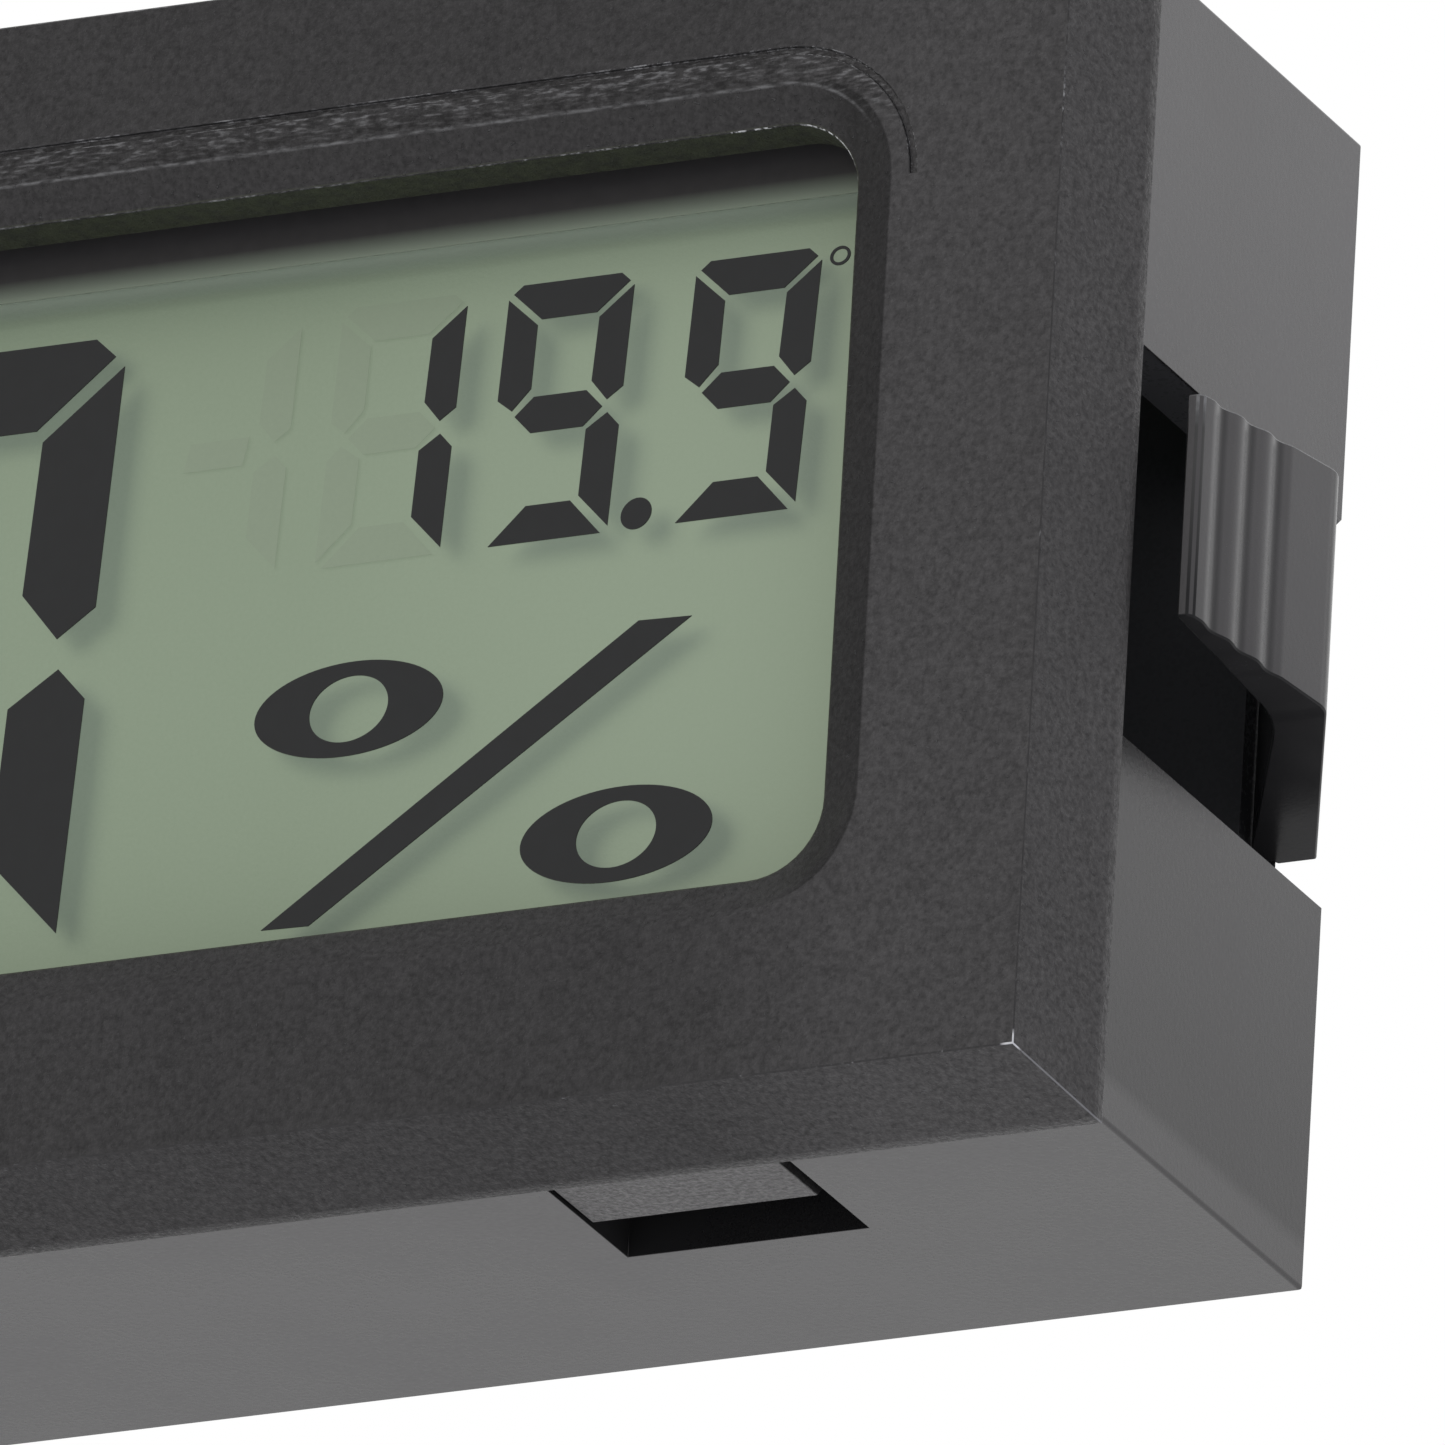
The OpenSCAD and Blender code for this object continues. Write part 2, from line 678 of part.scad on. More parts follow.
module contact_strip() {
    color("#d8a0a8") place()
        block(-strip_len / 2, strip_len / 2, glass2_d0, board_d,
              strip_z - strip_t / 2, strip_z + strip_t / 2);
}

// ---------- circuit board and what it carries ----------

module circuit_board() {
    color("#1f6b3a") place() difference() {
        along_y(board_d, board_d1) rounded_rect(board_w, board_h, 0.6);
        for (sx = [-1, 1]) mirror([sx - 1, 0, 0])
            block(clear_side, bezel_w, board_d - eps, board_d1 + eps, -waist_hh, waist_hh);
        four_corners(screw_x, screw_z)
            post(shank_r + screw_gap, board_d - eps, board_d1 + eps);
    }
}

module board_screws() {
    color("#b9b9bb") place() four_corners(screw_x, screw_z) difference() {
        union() {
            post(shank_r, display_d + 0.3, board_d1 + eps);
            post(head_r, board_d1, board_d1 + head_t);
        }
        for (a = [0, 90]) rotate([0, a, 0])
            block(-head_r * 0.65, head_r * 0.65, board_d1 + head_t / 2, board_d1 + head_t + eps,
                  -0.12, 0.12);
    }
}

// radius of the ball whose cap has the dome's radius and height
dome_ball = (blob_r * blob_r + blob_h * blob_h) / (2 * blob_h);

module chip_dome() {
    color("#17171a") place() translate([dome_x, board_d1, dome_z])
        rotate([-90, 0, 0]) rotate_extrude() intersection() {
            translate([0, blob_h - dome_ball]) circle(dome_ball, $fn = 160);
            square([blob_r + 1, blob_h + 1]);
        }
}

module clock_crystal() {
    color("#c4c4c8") place() translate([crystal_x, board_d1 + crystal_r, row_z]) {
        rotate([0, 90, 0]) cylinder(r = crystal_r, h = crystal_len);
        for (sz = [-1, 1]) translate([-wire_len, 0, sz * crystal_r * 0.4]) {
            rotate([0, 90, 0]) cylinder(r = wire_r, h = wire_len + eps);
            // foot where the wire turns down to the board
            translate([0, -crystal_r, -wire_r]) cube([2 * wire_r, crystal_r + wire_r, 2 * wire_r]);
        }
    }
}

module chip_row(count, pitch, l, w, t) {
    for (i = [0 : count - 1])
        translate([(i - (count - 1) / 2) * pitch - w / 2, board_d1, -l / 2]) cube([w, t, l]);
}

module chip_resistors() {
    color("#202024") place() translate([resistor_x, 0, resistor_z])
        chip_row(resistor_count, resistor_pitch, resistor_l, resistor_w, resistor_t);
}
module chip_capacitors() {
    color("#b8946a") place() translate([capacitor_x, 0, row_z])
        chip_row(3, capacitor_pitch, capacitor_l, capacitor_w, capacitor_t);
}

module lead_pair(d1) {
    for (sx = [-1, 1]) translate([sx * lead_pitch / 2, 0, 0])
        block(-lead_w / 2, lead_w / 2, board_d1, d1, -lead_w / 2, lead_w / 2);
}

module humidity_sensor() {
    color("#e6e4da") place() translate([vent_x, 0, vent_z]) {
        block(-sensor_w / 2, sensor_w / 2, sensor_d1 - sensor_t, sensor_d1,
              -sensor_h / 2, sensor_h / 2);
        translate([0, 0, -sensor_h / 2 + 1]) lead_pair(sensor_d1 - sensor_t + eps);
    }
}

module temperature_bead() {
    color("#2a2a2e") place() translate([vent_x, 0, vent_z - sensor_h / 2 - 3]) {
        translate([0, board_d1 + bead_off, 0]) sphere(bead_r);
        for (sx = [-1, 1]) along_z(-lead_w / 2, lead_w / 2)
            polygon([[sx * (lead_pitch + lead_w) / 2, board_d1],
                     [sx * 0.2, board_d1 + bead_off], [sx * (0.2 - lead_w), board_d1 + bead_off],
                     [sx * (lead_pitch - lead_w) / 2, board_d1]]);
    }
}

// ---------- batteries and contacts ----------

// each contact's leg stands past the middle of its cell, and its leaf reaches back under it
function contact_leg_x(sx) = bay_x + sx * (cell_pitch / 2 + contact_len / 2);

module contact_leaf(sx) {
    translate([contact_leg_x(sx), 0, 0]) mirror([sx + 1, 0, 0])
        along_z(bay_z - contact_w / 2, bay_z + contact_w / 2)
            polygon([[0, board_d1], [contact_t, board_d1], [contact_t, floor_d1],
                     [contact_len - 0.9, floor_d1], [contact_len, cell_d0 - contact_t],
                     [contact_len, cell_d0], [contact_len - 1.1, floor_d1 + contact_t],
                     [0, floor_d1 + contact_t]]);
}

module positive_contact() { color("#c9c6bd") place() contact_leaf(1); }
module negative_contact() { color("#c9c6bd") place() contact_leaf(-1); }

// button cell with its can's base at 0 and its cap at the far end
module button_cell() {
    cap_r = cell_r - 1.0;
    rotate([-90, 0, 0]) rotate_extrude($fn = 96)
        polygon([[0, 0], [cell_r - 0.35, 0], [cell_r, 0.35], [cell_r, cell_t - 0.75],
                 [cell_r - 0.3, cell_t - 0.4], [cap_r + 0.25, cell_t - 0.4],
                 [cap_r + 0.2, cell_t - 0.55], [cap_r, cell_t - 0.3], [cap_r - 0.3, cell_t],
                 [0, cell_t]]);
}

module coin_cell_1() {
    color("#d0d0d2") place()
        translate([bay_x + cell_pitch / 2, cell_d0, bay_z]) button_cell();
}
module coin_cell_2() {
    color("#d0d0d2") place()
        translate([bay_x - cell_pitch / 2, cell_d1, bay_z]) mirror([0, 1, 0]) button_cell();
}

front_bezel();
rear_housing();
left_clip_arm();
right_clip_arm();
battery_door();
lcd_front_film();
lcd_front_glass();
lcd_rear_glass();
lcd_reflector();
lcd_frame();
contact_strip();
circuit_board();
board_screws();
chip_dome();
clock_crystal();
chip_resistors();
chip_capacitors();
humidity_sensor();
temperature_bead();
positive_contact();
negative_contact();
bridge_contact();
coin_cell_1();
coin_cell_2();
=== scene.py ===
# %% [markdown]
# # A digital hygrometer for a panel cut-out
# The object is a black plastic instrument, 48 mm wide, that snaps into a hole in a panel.
# Its solids come packed from the CAD model. They are loaded first, as a fixed frame, and
# everything made here is placed by what the frame says, so that nothing is fitted by eye.

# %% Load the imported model
import math

import bmesh
import bpy
import numpy as np
from mathutils import Matrix, Vector


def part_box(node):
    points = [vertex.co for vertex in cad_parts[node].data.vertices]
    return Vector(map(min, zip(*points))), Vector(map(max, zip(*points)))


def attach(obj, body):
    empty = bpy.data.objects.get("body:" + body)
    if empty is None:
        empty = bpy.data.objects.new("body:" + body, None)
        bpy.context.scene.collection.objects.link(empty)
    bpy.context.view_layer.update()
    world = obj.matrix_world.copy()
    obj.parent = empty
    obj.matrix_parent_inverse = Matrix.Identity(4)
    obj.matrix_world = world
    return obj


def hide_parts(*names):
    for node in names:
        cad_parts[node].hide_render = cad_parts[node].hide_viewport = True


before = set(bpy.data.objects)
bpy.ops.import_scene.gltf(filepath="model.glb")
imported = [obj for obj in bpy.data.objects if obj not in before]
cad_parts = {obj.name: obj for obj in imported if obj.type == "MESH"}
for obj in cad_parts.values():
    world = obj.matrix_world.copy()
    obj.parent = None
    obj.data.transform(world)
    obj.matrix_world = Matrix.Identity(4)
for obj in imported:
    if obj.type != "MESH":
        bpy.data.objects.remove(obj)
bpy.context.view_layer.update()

print("nodes:", ", ".join(sorted(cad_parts)))

# %% [markdown]
# ## One way to say where things are
# The drawing of such an instrument counts depth from its front face and height from the
# middle of the bezel, in millimetres. The frame counts in metres from another origin. One
# small function turns the first into the second, and reads both origins from the bezel itself.

# %% From the drawing's millimetres to the frame's metres
MM = 0.001
bezel_low, bezel_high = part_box("front_bezel")
FRONT = bezel_low.y
MIDDLE = (bezel_low.z + bezel_high.z) / 2


def at(x, depth, z):
    """Point in metres: x and z from the bezel's middle, depth from its front face, in mm."""
    return Vector((x * MM, FRONT + depth * MM, MIDDLE + z * MM))


def link(obj):
    """Puts a new object into the scene and hands it back."""
    bpy.context.scene.collection.objects.link(obj)
    return obj


print("front face at y =", round(FRONT, 5), "middle at z =", round(MIDDLE, 5))

# %% [markdown]
# ## The camera
# The picture is a close crop, taken with a long lens from the right and from below. A camera is
# three directions and a point that it looks at, so it is built from its yaw, its rise and its
# roll, and set back along the view. The lens follows from how many pixels a millimetre covers.

# %% Camera
YAW, RISE, ROLL = (math.radians(a) for a in (26.174, -22.018, 3.245))
LOOK_AT = at(15.758, 0, -5.099)
DISTANCE = 1.02146             # metres from there to the camera
PIXELS_PER_MM = 47.079
IMAGE = 1445                   # pixels along one side of the picture
SENSOR = 36                    # mm, with the lens given for it


def view_axes(yaw, rise, roll):
    """Right, up and look of a camera that stands yaw to the right and rise above the front."""
    look = Vector((-math.sin(yaw) * math.cos(rise), math.cos(yaw) * math.cos(rise),
                   -math.sin(rise)))
    right = Vector((math.cos(yaw), math.sin(yaw), 0))
    up = right.cross(look)
    return (right * math.cos(roll) + up * math.sin(roll),
            up * math.cos(roll) - right * math.sin(roll), look)


right, up, look = view_axes(YAW, RISE, ROLL)
camera = link(bpy.data.objects.new("camera", bpy.data.cameras.new("camera")))
camera.matrix_world = Matrix((right, up, -look)).transposed().to_4x4()
camera.location = LOOK_AT - look * DISTANCE
camera.data.sensor_width = SENSOR
camera.data.lens = PIXELS_PER_MM / MM * DISTANCE / IMAGE * SENSOR
camera.data.clip_end = 20
bpy.context.scene.camera = camera
bpy.context.scene.view_settings.view_transform = "Standard"
print("camera at", [round(c, 4) for c in camera.location], "lens", round(camera.data.lens, 1))

# %% [markdown]
# ## Small helpers for node materials
# A node material is a chain of boxes. Building it by hand takes many lines, so one helper adds
# a node, sets or links each of its inputs, and hands the node back. Constants go straight onto
# the shader, and only what varies over the surface comes through links.

# %% Helpers for materials
def add(tree, kind, inputs=None, **settings):
    """A node with its settings; each input is a constant or the socket that feeds it."""
    made = tree.nodes.new("ShaderNode" + kind)
    for key, value in settings.items():
        setattr(made, key, value)
    for key, value in (inputs or {}).items():
        if isinstance(value, bpy.types.NodeSocket):
            tree.links.new(value, made.inputs[key])
        else:
            made.inputs[key].default_value = value
    return made


def surface(name, roughness=0.5, **sockets):
    """A material with one Principled shader, its tree, its shader and object coordinates."""
    mat = bpy.data.materials.new(name)
    mat.use_nodes = True
    tree = mat.node_tree
    shader = tree.nodes["Principled BSDF"]
    shader.inputs["Roughness"].default_value = roughness
    for key, value in sockets.items():
        shader.inputs[key.replace("_", " ")].default_value = value
    return mat, tree, shader, add(tree, "TexCoord").outputs["Object"]


def grain(tree, where, size, detail=2.0, rough=0.5):
    """Noise from 0 to 1 whose lumps are about size millimetres across."""
    return add(tree, "TexNoise", {"Vector": where, "Scale": 1 / (size * MM), "Detail": detail,
                                  "Roughness": rough}).outputs[0]


def spread(tree, value, low, high, to_low, to_high):
    """The value from low to high, stretched to run from to_low to to_high."""
    return add(tree, "MapRange", {"Value": value, "From Min": low, "From Max": high,
                                  "To Min": to_low, "To Max": to_high}).outputs[0]


def blend(tree, share, first, second):
    """Colour first where share is 0, second where it is 1."""
    return add(tree, "Mix", {0: share, 6: first, 7: second}, data_type="RGBA").outputs[2]


def grey(level, warm=0.0):
    """A grey of that level; warm above 0 leans to red, below 0 to blue."""
    return (level * (1 + warm), level, level * (1 - warm), 1)


def math_node(tree, operation, first, second=0.5):
    """One step of arithmetic on sockets or numbers."""
    return add(tree, "Math", {0: first, 1: second}, operation=operation).outputs[0]


def relief(tree, shader, height, depth_mm):
    """Bump whose full height is depth_mm on the real surface."""
    bump = add(tree, "Bump", {"Height": height, "Distance": depth_mm * MM, "Strength": 1.0})
    tree.links.new(bump.outputs[0], shader.inputs["Normal"])


print("a grey of 0.2, leaning to red:", grey(0.2, 0.1))

# %% [markdown]
# ## White surroundings
# Black plastic shows little colour of its own: most of what the eye sees on it is the room in
# its gloss. The picture was taken in a white box, so gloss and glass see white, while the light
# that falls on the matt parts is set lower. One world can do both, because the Light Path node
# tells what kind of ray asks.

# %% World
AMBIENT = (0.81, 0.82, 0.91, 1)
world = bpy.data.worlds.new("white_box")
bpy.context.scene.world = world
world.use_nodes = True
tree = world.node_tree
path = add(tree, "LightPath").outputs
seen = math_node(tree, "MAXIMUM", path["Is Camera Ray"], path["Is Glossy Ray"])
seen = math_node(tree, "MAXIMUM", seen, path["Is Transmission Ray"])
background = tree.nodes["Background"]
tree.links.new(blend(tree, seen, AMBIENT, grey(1.0)), background.inputs["Color"])
background.inputs["Strength"].default_value = 1.0
print("matt parts see", AMBIENT[:3], "and gloss sees white")

# %% [markdown]
# ## Two soft lamps
# A large lamp from above and from the left gives the shadow of the bezel's lip on the display,
# soft as in the picture. A second one stands behind, so that the back isn't flat when the
# object is turned. Both are kept out of the gloss, where a lamp would show as a bright square.

# %% Lamps
AIM = at(0, 7, 0)              # the middle of the object


def soft_lamp(name, place, size, watts, colour=(1, 1, 1)):
    """A square area lamp that faces the middle of the object."""
    data = bpy.data.lights.new(name, "AREA")
    data.shape, data.size, data.energy, data.color = "SQUARE", size, watts, colour
    lamp = link(bpy.data.objects.new(name, data))
    lamp.location = Vector(place)
    lamp.rotation_euler = (AIM - lamp.location).to_track_quat("-Z", "Y").to_euler()
    lamp.visible_glossy = False
    return lamp


key = soft_lamp("key_lamp", (-0.34, -0.63, 0.22), 0.55, 1.6, (1.0, 0.97, 0.74))
back = soft_lamp("back_lamp", (-0.45, 0.6, 0.45), 0.40, 2.0)
print("lamps:", key.name, back.name)

# %% [markdown]
# ## The floor
# The instrument stands on its bezel's lower edge for this picture. The floor is pale, takes the
# object's shadow, and fades out into the white surroundings, so it has no far edge. The picture
# was taken from below the floor's level, so the floor is clear from its underside and lets
# light and gloss through to the instrument's lower face.

# %% Floor
FLOOR = 0.6                    # metres, half of its side
FADE_FROM, FADE_TO = 0.12, 0.5     # metres from the object
floor_mesh = bpy.data.meshes.new("floor")
floor_mesh.from_pydata([(-FLOOR, -FLOOR, 0), (FLOOR, -FLOOR, 0), (FLOOR, FLOOR, 0),
                        (-FLOOR, FLOOR, 0)], [], [(0, 1, 2, 3)])
floor = link(bpy.data.objects.new("floor", floor_mesh))
floor.visible_diffuse = floor.visible_glossy = False
floor.visible_transmission = floor.visible_shadow = False
mat, tree, shader, where = surface("floor_paper", 0.9, Specular_IOR_Level=0.0)
distance = add(tree, "VectorMath", {0: where}, operation="LENGTH").outputs["Value"]
fade = spread(tree, distance, FADE_FROM, FADE_TO, 0, 1)
paper = grain(tree, where, 3.0, 4)
tree.links.new(blend(tree, paper, grey(0.90), grey(0.93)), shader.inputs["Base Color"])
below = add(tree, "NewGeometry").outputs["Backfacing"]
clear = add(tree, "BsdfTransparent").outputs[0]
mixed = add(tree, "MixShader", {0: math_node(tree, "MAXIMUM", fade, below),
                                1: shader.outputs[0], 2: clear})
tree.links.new(mixed.outputs[0], tree.nodes["Material Output"].inputs["Surface"])
floor_mesh.materials.append(mat)
print("floor fades out between", FADE_FROM, "and", FADE_TO, "m")

# %% [markdown]
# ## Bezel plastic: a spark-eroded mould
# The bezel's mould was eroded by sparks, which leaves a fine, even grain of pits that glint
# against the light. It could be a photograph of the grain, but a formula keeps its size when
# the camera comes close. One noise gives the pits, a second the peaks, whose paler colour is
# a painted glint, and a third clouds the colour. What the mould did round the window, and the
# highlights painted there, follow the distance from the window's edge, so that distance comes
# first.

# %% Places and distances on a surface
WINDOW_CENTRE = at(0, 0, 0.1)
WINDOW_STRAIGHT = (16.3 * MM, 1, 7.0 * MM)     # half of its straight parts, at any depth
WINDOW_CORNER = 1.7 * MM


def product(tree, first, *others):
    """All factors multiplied, sockets or numbers."""
    for other in others:
        first = math_node(tree, "MULTIPLY", first, other)
    return first


def coordinate(tree, where, axis):
    """One coordinate of a place or a direction."""
    return add(tree, "SeparateXYZ", {0: where}).outputs[axis]


def streaked(tree, where, sizes):
    """Noise from 0 to 1, stretched to lumps of these sizes in mm along x, y and z."""
    stretched = add(tree, "Mapping", {"Vector": where, "Scale": [1 / (s * MM) for s in sizes]})
    return add(tree, "TexNoise", {"Vector": stretched.outputs[0], "Scale": 1.0,
                                  "Detail": 3.0}).outputs[0]


def vector_step(tree, operation, first, second=(0, 0, 0), output=0):
    """One step of arithmetic on vectors."""
    return add(tree, "VectorMath", {0: first, 1: second}, operation=operation).outputs[output]


def window_distance(tree, where):
    """Distance in metres from the edge of the window, which is a rounded rectangle: the length
    of what lies beyond its straight parts, less the corner's radius."""
    beyond = vector_step(tree, "ABSOLUTE", vector_step(tree, "SUBTRACT", where, WINDOW_CENTRE))
    beyond = vector_step(tree, "SUBTRACT", beyond, WINDOW_STRAIGHT)
    beyond = vector_step(tree, "MAXIMUM", beyond)
    length = vector_step(tree, "LENGTH", beyond, output="Value")
    return math_node(tree, "SUBTRACT", length, WINDOW_CORNER)


def violet(shader):
    """The faint violet that the gloss of these black plastics has."""
    shader.inputs["Specular Tint"].default_value = (1.0, 0.965, 1.0, 1)


print("window's straight parts end", WINDOW_STRAIGHT[0], "m from its middle")

# %% [markdown]
# ## What the mould left round the window, and painted highlights
# The bezel has a fine line above its window. The mould was polished inside that line, so the
# rim shines less, and it left rough, streaky burrs just beyond it. The light that the burrs
# and the line catch is painted on as highlights. Streaks are a noise that is stretched one
# way, and bands in the distance say where they show.

# %% Streaks, line and rim
FINE_LINE = 0.80 * MM                 # distance of the fine line from the window's edge
BAND_SOFT, BAND_END = 1.45 * MM, 1.65 * MM
MARKS_START, MARKS_FULL = MIDDLE + 8.2 * MM, MIDDLE + 9.2 * MM
STREAK_SIZES = (1 / 3.2, 1 / 3.2, 1 / 13)        # mm, long and flat
HOOKS_START, HOOKS_FULL = FRONT + 2.7 * MM, FRONT + 3.0 * MM


def mould_marks_and_highlights(tree, away, height, streaks):
    """Shares of painted highlights and of dark marks on the upper side: bright streaks where the
    burrs in a band beyond the fine line catch the light, brighter farther out, and a painted
    highlight along the line itself, a narrow peak at its distance."""
    upper = spread(tree, height, MARKS_START, MARKS_FULL, 0, 1)
    band = product(tree, spread(tree, away, FINE_LINE, FINE_LINE + 0.06 * MM, 0, 1),
                   spread(tree, away, BAND_SOFT, BAND_END, 1, 0), upper)
    # painted highlights: bright streaks where the burrs catch the light
    bright = product(tree, band, spread(tree, streaks, 0.54, 0.68, 0, 1),
                     spread(tree, away, 0.9 * MM, 1.4 * MM, 0.25, 0.9))
    off_line = math_node(tree, "ABSOLUTE", math_node(tree, "SUBTRACT", away, FINE_LINE))
    # painted highlight along the fine line
    line = product(tree, spread(tree, off_line, 0.01 * MM, 0.05 * MM, 1, 0),
                   spread(tree, streaks, 0.4, 0.65, 0.15, 0.9), upper)
    dark = product(tree, band, spread(tree, streaks, 0.48, 0.38, 0, 1))
    return math_node(tree, "MAXIMUM", bright, line), dark


def bezel_shine(tree, place, away):
    """Gloss of the bezel: low on the rim inside the fine line, higher beyond it and towards the
    right, and highest on the snap hooks, which lie behind the front."""
    lean = spread(tree, place["X"], 16.5 * MM, 18.2 * MM, 0, 0.2 * MM)
    beyond = spread(tree, math_node(tree, "SUBTRACT", away, lean), 0.78 * MM, 0.90 * MM, 0, 1)
    rim = math_node(tree, "MAXIMUM", spread(tree, place["X"], 17 * MM, 18 * MM, 0.36, 0.18),
                    beyond)
    shine = math_node(tree, "MINIMUM", rim,
                      spread(tree, place["X"], 15.0 * MM, 19.5 * MM, 0.37, 0.56))
    return math_node(tree, "MAXIMUM", shine,
                     spread(tree, place["Y"], HOOKS_START, HOOKS_FULL, 0, 0.85))


print("fine line", FINE_LINE, "m and streaks up to", BAND_END, "m from the window")

# %% [markdown]
# ## The grain and the marks together
# The pits drive the relief, the roughness and the gloss at once, because on the real surface
# they are one and the same thing. The colour starts as a clouded black, and each mark is
# blended over it by its own share, the strongest last: the peaks as painted glints, the
# display's painted reflection on the window's wall, and the painted highlights.

# %% Bezel plastic
# painted glints: the grain's peaks are painted this paler grey
PEAK_GLINT_GREY = grey(0.05)
WALL_REFLECTION_GREEN = (0.034, 0.038, 0.022, 1)     # the window's wall mirrors the display
PIT_RELIEF = 0.045                        # mm


def spark_plastic(name):
    """Black plastic with a spark-eroded grain. Where a fine noise peaks, the colour is painted
    paler, as a glint.
    """
    mat, tree, shader, where = surface(name)
    violet(shader)
    away = window_distance(tree, where)
    place = add(tree, "SeparateXYZ", {0: where}).outputs
    streaks = streaked(tree, where, STREAK_SIZES)
    bright, dark = mould_marks_and_highlights(tree, away, place["Z"], streaks)
    pits = grain(tree, where, 0.13, 4, 0.65)
    # the peaks are raised in the relief and painted paler in the colour, as glints
    peaks = spread(tree, grain(tree, where, 0.10, 2, 0.5), 0.64, 0.78, 0, 1)
    # painted reflection: the window's wall takes the display's green, mottled by the streaks
    wall = product(tree, spread(tree, away, 0.02 * MM, 0.06 * MM, 1, 0),
                   spread(tree, streaks, 0.3, 0.6, 0.3, 1))
    base = blend(tree, grain(tree, where, 2.5, 3), grey(0.010, 0.02), grey(0.018, 0.03))
    base = blend(tree, wall, blend(tree, peaks, base, PEAK_GLINT_GREY), WALL_REFLECTION_GREEN)
    # the painted highlights of the streaks and the line, in grey
    tree.links.new(blend(tree, bright, base, grey(0.13)), shader.inputs["Base Color"])
    tree.links.new(spread(tree, pits, 0.3, 0.7, 0.58, 0.34), shader.inputs["Roughness"])
    shine = product(tree, bezel_shine(tree, place, away),
                    spread(tree, pits, 0.3, 0.7, 0.66, 1.34), spread(tree, dark, 0, 1, 1, 0.5))
    tree.links.new(shine, shader.inputs["Specular IOR Level"])
    relief(tree, shader, math_node(tree, "ADD", pits, product(tree, peaks, 0.8)), PIT_RELIEF)
    return mat


bezel_black = spark_plastic("bezel_spark_black")
print("material", bezel_black.name, "with", len(bezel_black.node_tree.nodes), "nodes")

# %% [markdown]
# ## Worn edges and painted highlights
# Edges wear over a product's life, and they catch the light. On the bezel they are bright in
# clumps, fewer towards the bottom, which is partly wear and partly painted highlight. A painted
# highlight runs along the mitre from the bright corner, and that corner and a few bright spots
# near the window and the notch are painted highlights too. The edges have a material of their
# own, so these marks stay on the edges whatever the camera's place.

# %% Edges of the bezel
# painted highlights: the corner where the mitre starts, and bright spots on the edges near the
# window's top and beside the notch
BRIGHT_CORNER = at(23.0, 0.0, -13.3)
BRIGHT_SPOTS = [(at(17.3, 0.5, 8.4), 0.9 * MM), (at(15.7, 0.5, 8.8), 0.3 * MM),
         (at(15.1, 0.5, 8.8), 0.2 * MM), (at(24.0, 2.4, 3.75), 0.3 * MM)]     # place and reach
MITRE_HIGHLIGHT = 0.8                     # how bright the painted highlight along the corner's mitred edge is


def corner_and_spots(tree, where, nicks, spot, chips):
    """1 at the corner's and the spots' painted highlights, each with a ragged edge, 0 elsewhere."""
    away = vector_step(tree, "DISTANCE", where, spot, "Value")
    share = spread(tree, math_node(tree, "ADD", away, product(tree, nicks, 0.2 * MM)),
                   0.28 * MM, 0.42 * MM, 1, 0)
    for place, reach in chips:
        away = vector_step(tree, "DISTANCE", where, place, "Value")
        # one painted highlight spot, ragged at its edge
        chip = product(tree, spread(tree, away, reach * 0.7, reach, 1, 0),
                       spread(tree, nicks, 0.40, 0.52, 0, 1))
        share = math_node(tree, "MAXIMUM", share, chip)
    return share


def edge_wear_and_highlights(name, spot, chips):
    """The same plastic on its edges: rough, and bright in clumps, fewer towards the bottom, partly
    wear and partly painted highlight; a painted highlight runs all along the mitre from the
    bright corner."""
    mat, tree, shader, where = surface(name, 0.45)
    violet(shader)
    place = add(tree, "SeparateXYZ", {0: where}).outputs
    nicks = grain(tree, where, 0.14, 3, 0.7)
    least = spread(tree, place["Z"], MIDDLE + 4 * MM, MIDDLE + 9 * MM, 0.62, 0.50)
    # bright clumps, fewer towards the bottom: partly wear, partly painted highlight
    wear_and_highlight = product(tree, spread(tree, math_node(tree, "SUBTRACT", nicks, least), 0.0, 0.10, 0, 1),
                     spread(tree, grain(tree, where, 1.6, 2), 0.42, 0.58, 0.15, 1))
    # painted highlight along the mitre from the bright corner
    mitre = product(tree, math_node(tree, "LESS_THAN", place["Z"], spot.z - 0.1 * MM),
                    math_node(tree, "GREATER_THAN", place["X"], spot.x + 0.1 * MM), MITRE_HIGHLIGHT)
    wear_and_highlight = math_node(tree, "MAXIMUM", wear_and_highlight, mitre)
    colour = blend(tree, wear_and_highlight, grey(0.014, 0.02), grey(0.20))
    tree.links.new(spread(tree, nicks, 0.3, 0.7, 0.32, 0.52), shader.inputs["Specular IOR Level"])
    # the corner and the spots take a pale grey, as painted highlights
    tree.links.new(blend(tree, corner_and_spots(tree, where, nicks, spot, chips), colour, grey(0.55)),
                   shader.inputs["Base Color"])
    relief(tree, shader, nicks, 0.05)
    return mat


bezel_edge = edge_wear_and_highlights("bezel_edge_wear_and_highlights", BRIGHT_CORNER, BRIGHT_SPOTS)
print("material", bezel_edge.name, "with", len(BRIGHT_SPOTS), "chips")

# %% [markdown]
# ## Satin plastic of the housing, the clips and the door
# These mouldings came out of a smoother tool: they show a satin gloss with faint flow marks.
# Towards the top their colour is painted paler and their gloss higher, a painted sheen. The
# inside of the housing is painted paler and less glossy, painted light in its recesses, and the
# clip's grooves and crest shine less, painted shade, while its ridges shine more. All of these
# are masks worked out from the place, so no image texture is needed.

# %% Masks for the inside and for the grooves
INSIDE_LOW, INSIDE_HIGH = at(-22.93, 0, -12.2), at(22.93, 15.1, 12.2)
GROOVE_PITCH, FIRST_GROOVE, CREST = 1.1, 4.10, 8.55     # mm, the last two as depths


